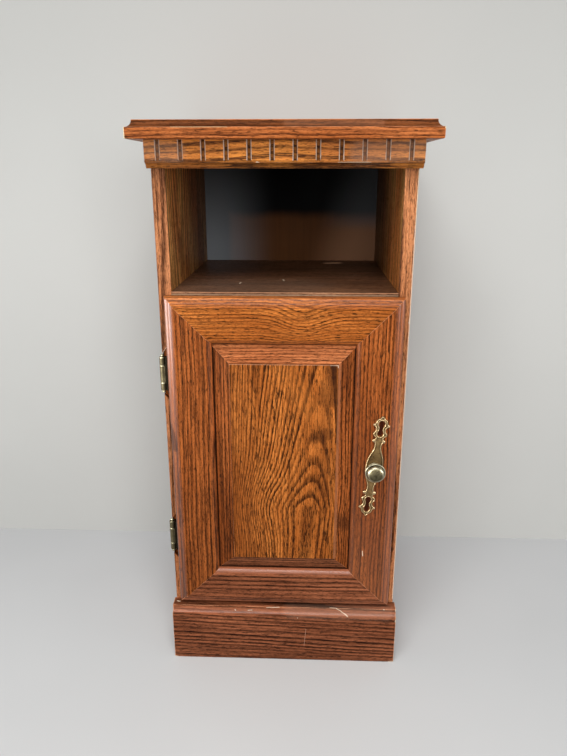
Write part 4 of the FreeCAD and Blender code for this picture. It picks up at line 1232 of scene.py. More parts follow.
@dataclass
class TableTop:
    """The moulded top: a flat edge with a hollow above it on the front and both sides."""

    half_width: float = 171.5
    front: float = -162.0
    back: float = 173.0
    under: float = 693.0
    thickness: float = 20.0
    hollow: float = 7.0
    lip: float = 1.0
    nose: float = 1.5
    margin: float = 20.0

    def edge(self) -> list[Corner]:
        """Draws the edge from the underside up.

        Returns:
            Its points as inset and height.
        """
        top = self.under + self.thickness
        shoulder = top - self.lip
        foot = shoulder - self.hollow
        points = bend(self.nose, self.under + self.nose, self.nose, 270.0, 180.0, 3)
        points += [Corner(0.0, foot - 0.9), Corner(0.0, foot - 0.3, 0.0, 0.6),
                   Corner(0.15, foot, 0.0, 1.0), Corner(0.55, foot + 0.05, 0.0, 0.6)]
        points += bend(0.0, shoulder, self.hollow, 280.0, 360.0, 7, 0.66)
        points += [Corner(self.hollow, top - 0.5, 0.0, 0.4),
                   Corner(self.hollow + 0.15, top - 0.15, 0.0, 1.0),
                   Corner(self.hollow + 0.5, top, 0.0, 0.4), Corner(self.hollow + 1.3, top),
                   Corner(self.hollow + self.margin, top)]
        return points

    def path(self, half: float, front: float) -> list[Span]:
        """Draws the way round the top, from the back left to the back right corner.

        Args:
            half: Half the width on this way.
            front: The place of its front.

        Returns:
            Its points as place across and place along the depth.
        """
        left = [(-half, self.back + (front - self.back) * step / 20) for step in range(20)]
        left += [(-half, front + 1.2), (-half, front + 0.3), (-half + 0.3, front),
                 (-half + 1.2, front)]
        middle = [(-half + 2 * half * step / 40, front) for step in range(1, 40)]
        return left + middle + [(-across, along) for across, along in reversed(left)]

    def build(self, effects: Effects) -> None:
        """Builds and dresses the top.

        Args:
            effects: The shared node groups.
        """
        form = Form()
        rows = []
        for point in self.edge():
            half = self.half_width - point.across
            front = self.front + point.across
            row = []
            for across, along in self.path(half, front):
                corner = abs(across) > half - 0.5 and along < front + 0.5
                wear = max(point.wear, 0.9 if corner else 0.0)
                row.append(form.add_point(Vector((across, along, point.rise)), wear, point.grime))
            rows.append(row)
        form.skin(rows, False)
        form.cap(rows[0])
        form.cap(rows[-1])
        form.cap([row[0] for row in rows] + [row[-1] for row in reversed(rows)])
        stain = Stain(painted(202, 120, 68), painted(166, 88, 38), painted(88, 38, 14))
        cream = painted(240, 222, 176)
        marks = (Mark((-171.3, -161.8, 694.0), (-171.5, -161.9, 705.5), 1.5, cream),
                 Mark((171.4, -161.8, 703.5), (171.4, -161.8, 706.0), 1.5, cream),
                 *Face.FRONT.lay(self.front, ((-171.0, 693.3), (-160.0, 693.2), 0.9, cream),
                                 ((-120.0, 705.0), (-60.0, 705.0), 0.8, cream, 0.5)),
                 # A pale veil on the hollow: wear, and a painted reflection.
                 Mark((4.0, -158.0, 710.0), (104.0, -158.0, 710.0), 9.0,
                      painted(190, 136, 104), 0.12))
        finish = Oak("oak top", Lie.LEVEL, stain, Pith(-60.0, 610.0), ring=3.4, wander=9.0,
                     streak=0.55, seed=1.3, marks=marks)
        form.build("table_top_oak", "cabinet", "stained_oak", "table_top", finish.material(effects))


@dataclass
class Cornice:
    """The dentil strip: blocks between upright grooves, over a fillet and a hollow."""

    half_length: float = 155.0
    back: float = -127.0
    top: float = 693.0
    height: float = 30.0
    thickness: float = 19.0
    groove_foot: float = 671.3
    bead_foot: float = 669.0
    quirk: float = 1.5
    hollow: float = 4.5
    pitch: float = 25.4
    groove_half: float = 1.9
    chamfer: float = 0.9
    groove_depth: float = 3.0
    grooves: int = 12
    arris: float = 0.35

    def columns(self) -> list[tuple[float, float, float]]:
        """Lists the upright lines of the face.

        Returns:
            The place across, the depth and the wear of each.
        """
        end = [(-self.half_length, self.arris + 0.7, 0.0), (-self.half_length, self.arris, 1.0),
               (-self.half_length + self.arris, 0.0, 1.0), (-self.half_length + 1.2, 0.0, 0.0)]
        mouth = self.groove_half + self.chamfer
        left = [(-mouth - 0.5, 0.0, 0.0), (-mouth, 0.0, 1.0),
                (-self.groove_half, self.chamfer, 1.0),
                (-self.groove_half, self.chamfer + 0.4, 0.3),
                (-self.groove_half, self.groove_depth, 0.0)]
        lines = list(end)
        for index in range(self.grooves):
            middle = (index - (self.grooves - 1) / 2) * self.pitch
            lines += [(middle + across, depth, wear) for across, depth, wear in left]
            lines += [(middle - across, depth, wear * 0.92)
                      for across, depth, wear in reversed(left)]
            if index < self.grooves - 1:
                run = self.pitch - 2 * mouth - 1.0
                lines += [(middle + mouth + 0.5 + run * step / 4, 0.0, 0.0) for step in (1, 2, 3)]
        return lines + [(-across, depth, wear) for across, depth, wear in reversed(end)]

    def build(self, effects: Effects) -> None:
        """Builds and dresses the strip.

        Args:
            effects: The shared node groups.
        """
        face = self.thickness
        quirk = face - self.quirk
        hollow_foot = self.bead_foot - self.hollow
        low = quirk - self.hollow - self.quirk
        grooved = [Corner(face, self.top), Corner(face, self.top - 9.0),
                   Corner(face, self.groove_foot + 0.6), Corner(face, self.groove_foot)]
        plain = [Corner(face, self.groove_foot), Corner(face, self.groove_foot - 0.4, 0.0, 0.3),
                 Corner(face, self.bead_foot + 0.5, 0.0, 0.2),
                 Corner(face - 0.15, self.bead_foot + 0.12, 0.0, 0.7),
                 Corner(face - 0.5, self.bead_foot, 0.0, 0.3)]
        plain += bend(quirk, hollow_foot, self.hollow, 90.0, 180.0, 6)
        plain += [Corner(low, hollow_foot), Corner(low, self.top - self.height),
                  Corner(0.0, self.top - self.height), Corner(0.0, self.top)]
        form = Form()
        rows = []
        # The bead, the hollow and the underside are darkened as painted shade.
        plain = [replace(point, grime=0.4) for point in plain]
        for point in grooved + plain:
            row = []
            for across, depth, wear in self.columns():
                # The bottoms of the grooves are darkened as painted shade.
                grime = max(point.grime, 0.62 if depth >= self.groove_depth else 0.0)
                cut = len(rows) < len(grooved) or abs(across) > self.half_length - 0.5
                forward = point.across - (depth if cut else 0.0) if point.across > 1.0 else 0.0
                worn = max(wear, point.wear) if cut else point.wear
                place = Vector((across, self.back - forward, point.rise))
                row.append(form.add_point(place, worn, grime))
            rows.append(row)
        form.skin([*rows, rows[0]], False)
        form.cap([row[0] for row in rows])
        form.cap([row[-1] for row in rows])
        stain = Stain(painted(234, 148, 66), painted(184, 106, 52), painted(72, 38, 20))
        dust = painted(158, 124, 104)
        marks = (*Face.FRONT.lay(self.back - self.thickness,
                                 ((-152.0, 684.0), (-120.0, 680.0), 22.0, dust, 0.32),
                                 ((152.0, 684.0), (84.0, 680.0), 24.0, dust, 0.32)),
                 Mark((-30.0, -145.8, 669.2), (-27.5, -145.8, 669.0), 1.4),
                 Mark((96.0, -145.9, 669.3), (60.0, -145.9, 669.3), 0.8, RAW, 0.5))
        finish = Oak("oak cornice", Lie.RAIL, stain, Pith(760.0), ring=4.0, wander=16.0, seed=7.7,
                     rubbed=painted(206, 184, 166), rub=0.9, marks=marks)
        form.build("cornice_oak", "cabinet", "stained_oak", "cornice_strip",
                   finish.material(effects), 20.0)


@dataclass
class Plinth:
    """The plinth board: a flat face, a hollow, a small upright and a ledge."""

    half_length: float = 154.8
    back: float = -127.0
    height: float = 84.5
    thickness: float = 21.3
    hollow: float = 5.0
    fillet: float = 5.5
    foot: float = 1.5

    def build(self, effects: Effects) -> None:
        """Builds and dresses the board.

        Args:
            effects: The shared node groups.
        """
        hollow_top = self.height - self.fillet
        section = [Corner(0.0, 0.0), Corner(0.0, self.height),
                   Corner(self.thickness - self.hollow - 4.0, self.height, 0.0, 0.5),
                   Corner(self.thickness - self.hollow, self.height, 0.6, 1.0)]
        section += [replace(point, wear=0.35) for point in bend(
            self.thickness, hollow_top, self.hollow, 180.0, 270.0, 6, 0.0, 0.55)[:-1]]
        section += [Corner(self.thickness, hollow_top - self.hollow, 0.5, 0.6)]
        section += bend(self.thickness - self.foot, self.foot, self.foot, 0.0, -90.0, 3)
        section = [replace(point, across=point.rise, rise=point.across) for point in section]
        form = Form()
        run = Run((-self.half_length, self.back, 0.0), (0.0, 0.0, 1.0), (0.0, -1.0, 0.0),
                  (1.0, 0.0, 0.0), 2 * self.half_length, False, 1.0)
        run.sweep(section, form)
        marks = (
            Mark((64.0, -142.2, 84.5), (73.0, -142.9, 84.5), 0.9),
            Mark((73.0, -143.3, 84.0), (80.0, -143.3, 79.8), 1.0),
            Mark((80.0, -143.5, 79.0), (86.0, -144.8, 75.6), 1.4),
            Mark((86.0, -144.8, 75.6), (88.5, -147.0, 74.2), 1.5),
            Mark((-24.0, -143.3, 83.0), (-6.0, -143.3, 84.0), 0.8),
            Mark((-50.0, -143.6, 78.0), (-44.0, -143.5, 78.6), 0.9),
            Mark((-68.0, -143.5, 78.5), (-67.0, -143.6, 77.8), 1.2),
            Mark((-150.0, -135.0, 84.5), (-146.5, -135.6, 84.5), 1.6),
            Mark((138.0, -143.3, 84.3), (138.8, -143.4, 83.8), 1.3),
            Mark((154.6, -143.0, 84.0), (154.8, -143.6, 82.0), 1.6),
            *Face.FRONT.lay(
                self.back - self.thickness, ((154.8, 71.0), (154.4, 68.5), 1.5),
                ((31.2, 52.8), (28.7, 23.9), 0.45, painted(186, 140, 116)),
                ((19.2, 70.9), (19.3, 70.7), 0.9), ((-154.5, 2.0), (-150.0, 0.6), 1.0),
                ((148.0, 1.0), (154.5, 1.6), 1.2)),
            # A pale veil over the ledge and the hollow: dust, and painted sheen.
            Mark((10.0, -143.0, 80.0), (142.0, -143.0, 80.0), 20.0, painted(232, 186, 160), 0.1))
        finish = Oak("oak plinth", Lie.RAIL, RUSSET, Pith(620.0, lean=-0.035), ring=6.2,
                     band=0.74, contrast=1.0, streak=0.4, seed=8.1, marks=marks)
        form.build("plinth_oak", "cabinet", "stained_oak", "plinth_board", finish.material(effects))


@dataclass
class Door:
    """The door: a mitred, moulded frame around a raised panel of a field and four bevels."""

    half_width: float = 144.0
    low: float = 89.5
    high: float = 517.5
    back: float = -128.0
    thickness: float = 19.0
    face_width: float = 50.7
    edge_lip: float = 9.5
    edge_round: float = 4.5
    edge_fillet: float = 1.0
    edge_hollow: float = 3.5
    edge_flat: float = 2.5
    step: float = 1.0
    sticking: float = 5.5
    groove_back: float = 4.5
    groove_width: float = 6.0
    groove_depth: float = 9.0
    panel_half: float = 94.8
    panel_low: float = 136.7
    panel_high: float = 464.3
    panel_back: float = -132.6
    panel_margin: float = 28.0
    panel_flat: float = 10.5
    panel_edge: float = 5.8
    panel_thickness: float = 12.7
    panel_step: float = 1.3

    def frame_section(self, rubbed: float, gloss: float) -> list[Corner]:
        """Draws a frame member's section, inwards from its edge and forwards from its back.

        Args:
            rubbed: How rubbed the round inside the frame is, and how much polish and painted sheen
                it takes.
            gloss: How polished the moulding outside the frame is, and how much painted sheen it
                takes.

        Returns:
            Its corners.
        """
        round_top = self.edge_lip + self.edge_round
        hollow_start = self.edge_round + self.edge_fillet
        hollow_end = hollow_start + self.edge_hollow
        hollow_top = round_top + self.edge_hollow
        shelf = hollow_end + self.edge_flat
        width = self.face_width + self.sticking
        groove_front = self.groove_back + self.groove_width
        section = [Corner(0.0, 0.0, 0.8, 0.5)]
        section += bend(self.edge_round, self.edge_lip, self.edge_round, 180.0, 90.0, 7, 0.0, gloss)
        section += bend(hollow_start, hollow_top, self.edge_hollow, 270.0, 360.0, 5, 0.0,
                        gloss)[:-1]
        section += [Corner(hollow_end, hollow_top, 0.4, 0.5, 0.0, gloss * 0.6),
                    Corner(shelf, hollow_top, 0.0, 0.0, 0.0, gloss * 0.5),
                    Corner(shelf, self.thickness, 0.5, 0.6),
                    Corner(self.face_width, self.thickness, 0.45, 0.5)]
        section += [replace(point, wear=rubbed * 0.5, polish=rubbed) for point in bend(
            self.face_width, self.thickness - self.step - self.sticking, self.sticking, 90.0,
            0.0, 7)]
        # The panel's groove is darkened as painted shade.
        section += [Corner(width, groove_front, 0.0, 0.0, 1.0),
                    Corner(width - self.groove_depth, groove_front, 0.0, 0.0, 1.0),
                    Corner(width - self.groove_depth, self.groove_back),
                    Corner(width, self.groove_back), Corner(width, 0.0, 0.5, 0.3)]
        return section

    def bevel_section(self, covered: float) -> list[Corner]:
        """Draws the section of a bevelled strip, inwards and forwards.

        Args:
            covered: How much of it the frame covers.

        Returns:
            Its corners.
        """
        face = self.panel_thickness - self.panel_step
        slope = (face - self.panel_edge) / (self.panel_margin - self.panel_flat)
        # Painted shade: the strip darkens where it goes into the frame's groove, a dark shadow
        # line.
        dirt_and_shade = [Corner(0.0, self.panel_edge, 0.0, 0.0, 1.0),
                Corner(covered + 0.9, self.panel_edge, 0.0, 0.0, 1.0),
                Corner(min(covered + 2.2, self.panel_flat - 0.1), self.panel_edge)]
        return [Corner(0.0, 0.0), *dirt_and_shade, Corner(self.panel_flat, self.panel_edge, 0.6),
                Corner(self.panel_margin - 0.8, face - 0.8 * slope),
                Corner(self.panel_margin, face, 0.0, 0.0, 0.5), Corner(self.panel_margin, 0.0)]

    def runs(self, half: float, low: float, high: float, back: float,
             wear: float) -> dict[str, Run]:
        """Lays four mitred runs around a rectangle.

        Args:
            half: Half its width.
            low: Its lower edge.
            high: Its upper edge.
            back: The place of the strips' backs.
            wear: How worn the mitres are.

        Returns:
            The runs by the side that they lie on.
        """
        left, right = (1.0, 0.0, 0.0), (-1.0, 0.0, 0.0)
        front, up, down = (0.0, -1.0, 0.0), (0.0, 0.0, 1.0), (0.0, 0.0, -1.0)
        return {
            "left": Run((-half, back, low), left, front, up, high - low, True, wear),
            "right": Run((half, back, low), right, front, up, high - low, True, wear),
            "top": Run((-half, back, high), down, front, left, 2 * half, True, wear),
            "bottom": Run((-half, back, low), up, front, left, 2 * half, True, wear)}

    def finishes(self) -> dict[str, Oak]:
        """Lists the oak of every part of the door.

        Returns:
            The oak by the solid that it stands for.
        """
        shade, smoke = painted(52, 20, 9), painted(58, 28, 13)
        field_face = self.panel_back - self.panel_thickness
        # The two marks in shade are painted shadow, where the backplate's piercings show the stile.
        stile_marks = Face.FRONT.lay(
            self.back - self.thickness, ((104.9, 179.1), (105.5, 171.5), 0.9),
            ((120.6, 348.5), (122.4, 362.5), 6.0, shade),
            ((109.4, 256.5), (107.6, 242.5), 6.0, shade))
        left_marks = (Mark((-143.0, -138.0, 352.0), (-139.0, -143.0, 322.0), 8.0, smoke, 0.7),)
        field_marks = Face.FRONT.lay(
            field_face, ((-66.0, 440.0), (-66.0, 160.0), 62.0, painted(120, 64, 27), 0.27),
            ((0.0, 440.0), (34.0, 376.0), 26.0, painted(216, 130, 58), 0.14),
            ((53.0, 440.0), (53.0, 262.0), 14.0, smoke, 0.34),
            ((57.0, 436.0), (66.5, 436.0), 0.9))
        field_marks += (Mark((66.5, -145.2, 433.5), (66.7, -145.2, 435.8), 1.2),)
        field_marks += Face.FRONT.lay(
            field_face, ((-66.0, 436.2), (66.0, 436.2), 0.6, painted(206, 160, 128), 0.6),
            ((60.0, 432.0), (63.0, 388.0), 12.0, smoke, 0.6),
            ((40.0, 340.0), (54.0, 346.0), 15.0, smoke, 0.5),
            ((-41.0, 231.0), (-37.0, 232.0), 8.0, smoke, 0.4))
        bevel_marks = (Mark((70.0, -140.0, 224.0), (86.0, -139.0, 212.0), 16.0, smoke, 0.6),
                       Mark((68.0, -144.6, 438.0), (68.0, -144.6, 166.0), 5.0,
                            painted(196, 130, 90), 0.34))
        rosy = Stain(painted(216, 130, 78), painted(170, 92, 48), painted(70, 28, 11))
        # The bottom bevel faces down, so it has a darker stain: painted shade.
        shaded_bottom_bevel = Stain(painted(146, 88, 58), painted(106, 60, 38), painted(44, 20, 10))
        pith = Pith(33.5, -185.0, 240.0, 0.17, 0.0, 120.0, 0.08, 85.0)
        swell = Swell(-22.0, 246.0, 34.0, 44.0, -12.0)
        knot = Swell(84.0, 222.0, 26.0, 34.0, -9.0)
        rail_swell = Swell(490.0, 22.0, 26.0, 30.0, -15.0)
        return {
            "door_stile_left": Oak(
                "oak left stile", Lie.UPRIGHT, CHESTNUT, Pith(-560.0), wander=12.0, band=0.74,
                streak=0.5, seed=9.3, dusk=0.26, moulded_from=255.0, marks=left_marks),
            "door_stile_right": Oak(
                "oak right stile", Lie.UPRIGHT, CHESTNUT, Pith(560.0), ring=4.6, wander=9.0,
                band=0.7, seed=10.1, dusk=0.42, dusk_colour=painted(112, 76, 60), moulded=0.3,
                marks=stile_marks),
            "door_rail_top": Oak("oak top rail", Lie.RAIL, AMBER, Pith(900.0), rail_swell,
                                 ring=3.7, contrast=0.75, pores=0.8, seed=11.9),
            "door_rail_bottom": Oak("oak bottom rail", Lie.RAIL, RUSSET, Pith(-500.0), ring=6.6,
                                    wander=6.0, band=0.7, streak=0.45, seed=12.4),
            "panel_field": Oak(
                "oak field", Lie.UPRIGHT, AMBER, pith, swell, ring=2.9, wander=6.0, band=0.74,
                contrast=0.96, streak=0.38, pores=0.85, dusk=0.18, seed=13.2,
                marks=field_marks),
            "panel_bevel_left": Oak("oak left bevel", Lie.UPRIGHT, CHESTNUT, Pith(-480.0),
                                    ring=4.4, streak=0.6, dusk=0.3, seed=14.6),
            "panel_bevel_right": Oak(
                "oak right bevel", Lie.UPRIGHT, CHESTNUT, pith, knot, ring=3.2, streak=0.5,
                dusk=0.28, seed=15.8, marks=bevel_marks),
            "panel_bevel_top": Oak("oak top bevel", Lie.RAIL, rosy, Pith(860.0), ring=4.0,
                                   contrast=0.75, seed=16.3),
            "panel_bevel_bottom": Oak("oak bottom bevel", Lie.RAIL, shaded_bottom_bevel, Pith(-300.0),
                                      ring=4.5, seed=17.1)}

    def build(self, effects: Effects) -> None:
        """Builds and dresses the frame and the panel.

        Args:
            effects: The shared node groups.
        """
        finishes = self.finishes()
        frame_runs = self.runs(self.half_width, self.low, self.high, self.back, 0.9)
        panel_runs = self.runs(self.panel_half, self.panel_low, self.panel_high,
                               self.panel_back, 0.8)
        inner = self.face_width + self.sticking
        side_cover = self.panel_half - self.half_width + inner
        sides = {"left": ("door_stile_left", side_cover, 0.15, 1.0),
                 "right": ("door_stile_right", side_cover, 0.15, 0.55),
                 "top": ("door_rail_top", self.panel_high - self.high + inner, 0.1, 0.3),
                 "bottom": ("door_rail_bottom", self.low + inner - self.panel_low, 0.8, 0.2)}
        members, strips = [], []
        for side, (node, cover, rubbed, gloss) in sides.items():
            members.append((node, frame_runs[side], self.frame_section(rubbed, gloss)))
            strips.append(("panel_bevel_" + side, panel_runs[side], self.bevel_section(cover)))
        for node, run, section in members + strips:
            form = Form()
            run.sweep(section, form)
            form.build(node + "_oak", "door", "stained_oak", node, finishes[node].material(effects))
        half = self.panel_half - self.panel_margin
        form = Form()
        form.slab((-half, self.panel_back - self.panel_thickness,
                   self.panel_low + self.panel_margin),
                  (half, self.panel_back, self.panel_high - self.panel_margin), 0.45, 0.9)
        form.build("panel_field_oak", "door", "stained_oak", "panel_field",
                   finishes["panel_field"].material(effects))


@dataclass
class Carcass:
    """The boards that keep their own solids."""

    front: float = -127.0
    worn_depth: float = 0.2
    shelf_top: float = 521.5
    shelf_half: float = 136.0

    def finishes(self) -> dict[str, Oak]:
        """Lists the oak of every board.

        Returns:
            The oak by the board's node.
        """
        half, level = self.shelf_half, self.shelf_top
        left_marks = Face.FRONT.lay(
            self.front, ((-152.3, 443.0), (-145.3, 452.5), 1.5),
            ((-144.5, 692.0), (-144.5, 536.0), 12.0, painted(104, 60, 36), 0.2))
        right_marks = Face.FRONT.lay(
            self.front + self.worn_depth, ((152.0, 491.0), (151.6, 484.5), 1.8),
            ((152.1, 662.0), (152.1, 600.0), 1.2),
            ((152.1, 600.0), (152.1, 90.0), 1.6, painted(232, 204, 180), 0.85))
        dust = painted(130, 102, 84)
        shelf_marks = Face.TOP.lay(
            level, ((-4.8, -30.0), (-3.2, -42.0), 2.2),
            ((-95.0, -85.0), (10.0, -75.0), 95.0, painted(122, 98, 82), 0.26),
            ((60.0, 132.0), (75.0, 136.0), 14.0, painted(252, 206, 168), 0.95))
        # Along the shelf's front arrises: wear, and painted highlights.
        shelf_marks += Face.FRONT.lay(
            self.front, ((-half, 518.2), (half, 518.2), 0.9, painted(190, 172, 144), 0.4),
            ((-half, 521.4), (half, 521.4), 1.0, painted(212, 156, 116), 0.6))
        shelf_marks += Face.TOP.lay(
            level, ((-60.0, -64.0), (-59.0, -56.0), 1.6),
            ((-100.0, 40.0), (-62.0, 10.0), 1.1, dust, 0.6),
            ((20.0, 70.0), (52.0, 96.0), 1.0, dust, 0.6),
            ((84.0, -30.0), (96.0, 20.0), 1.0, dust, 0.6),
            ((-30.0, 100.0), (-10.0, 60.0), 1.0, dust, 0.5))
        shelf_marks += Face.FRONT.lay(self.front, ((-72.5, 514.5), (-67.5, 516.0), 1.3))
        inner = Stain(painted(255, 196, 116), painted(248, 138, 66), painted(52, 20, 8))
        shelf_edge = Stain(painted(176, 130, 98), painted(134, 92, 66), painted(70, 44, 30))
        left_pith = Pith(-52.0, -197.0, 700.0, 0.0, 0.05)
        right_pith = Pith(-40.0, 190.0, 240.0, 0.04, 0.05)
        return {
            "sub_top": Oak("oak sub-top", Lie.LEVEL, UMBER, Pith(200.0, 500.0), seed=2.1),
            "niche_shelf": Oak("oak shelf", Lie.LEVEL, DUSTY, Pith(300.0, 480.0), seed=3.4,
                               front=shelf_edge, marks=shelf_marks),
            "bottom_panel": Oak("oak bottom", Lie.LEVEL, UMBER, Pith(260.0, 60.0), seed=4.2),
            # Both side panels darken inside towards the back: painted shade.
            "side_panel_left": Oak(
                "oak left side", Lie.SIDE, CHESTNUT, left_pith, ring=7.6, wander=6.0, band=0.7,
                contrast=1.0, streak=0.82, smoke=0.54, inner=inner, seed=5.5, front=FADED,
                marks=left_marks),
            "side_panel_right": Oak(
                "oak right side", Lie.SIDE, CHESTNUT, right_pith, ring=7.6, wander=8.0,
                band=0.7, streak=0.6, smoke=0.72, inner=inner, seed=6.5, front=FADED,
                marks=right_marks)}

    def dress(self, nodes: dict[str, Object], effects: Effects) -> None:
        """Gives every board its finish.

        Args:
            nodes: The solids by name.
            effects: The shared node groups.
        """
        for name, finish in self.finishes().items():
            put_on(nodes[name], finish.material(effects))
            LOG.info("dressed %s", name)


@dataclass
class Knob:
    """The turned knob: a foot, a flared stem, a rim and a dome."""

    across: float = 115.0
    foot_place: float = -149.0
    height: float = 302.5
    radius: float = 12.7
    projection: float = 24.0
    neck: float = 5.0
    foot_radius: float = 7.5
    foot_height: float = 2.5
    rim_height: float = 15.2
    rim: float = 1.4
    rim_step: float = 1.9
    shoulder: float = 4.0
    crown: float = 18.0

    def build(self, brass: Material) -> None:
        """Builds the knob.

        Args:
            brass: Its finish.
        """
        rim_top = self.rim_height + self.rim
        dome = self.radius - self.rim_step
        middle = self.projection - self.crown
        inset = dome - self.shoulder
        lift = math.sqrt((self.crown - self.shoulder) ** 2 - inset ** 2)
        turn = math.degrees(math.atan2(lift, inset))
        flare = self.radius - self.neck
        profile = [Corner(0.0, 0.0), Corner(self.foot_radius - 0.3, 0.0),
                   Corner(self.foot_radius, 0.3, 0.0, 0.5),
                   Corner(self.foot_radius, self.foot_height - 0.5, 0.0, 0.6),
                   Corner(self.foot_radius - 0.5, self.foot_height),
                   Corner(self.neck + 0.3, self.foot_height),
                   Corner(self.neck, self.foot_height + 0.4)]
        profile += bend(self.neck + flare, self.rim_height - flare, flare, 180.0, 97.0, 8)
        # The rim and the shoulder are made bright: rubbed brass, and a painted highlight.
        profile += [Corner(self.radius - 0.3, self.rim_height, 0.0, 0.4),
                    Corner(self.radius, self.rim_height + 0.4, 0.0, 1.0),
                    Corner(self.radius, rim_top - 0.5, 0.0, 1.0),
                    Corner(self.radius - 0.35, rim_top - 0.1, 0.0, 1.0),
                    Corner(dome + 0.6, rim_top, 0.0, 0.5, 0.2),
                    Corner(dome + 0.1, rim_top - 0.45, 0.0, 0.0, 0.95),
                    Corner(dome - 0.05, rim_top + 0.2, 0.0, 0.0, 0.7)]
        profile += [replace(point, wear=0.62) for point in bend(
            inset, middle + lift, self.shoulder, 0.0, turn, 9)]
        profile += [replace(point, wear=0.02) for point in bend(
            0.0, middle, self.crown, turn + 6.0, 90.0, 7)]
        form = Form()
        form.turning(profile, lambda x, z, up: Vector((self.across + x, self.foot_place - up,
                                                       self.height + z)), 72)
        form.build("knob_brass", "door", "antique_brass", "knob", brass, 40.0)


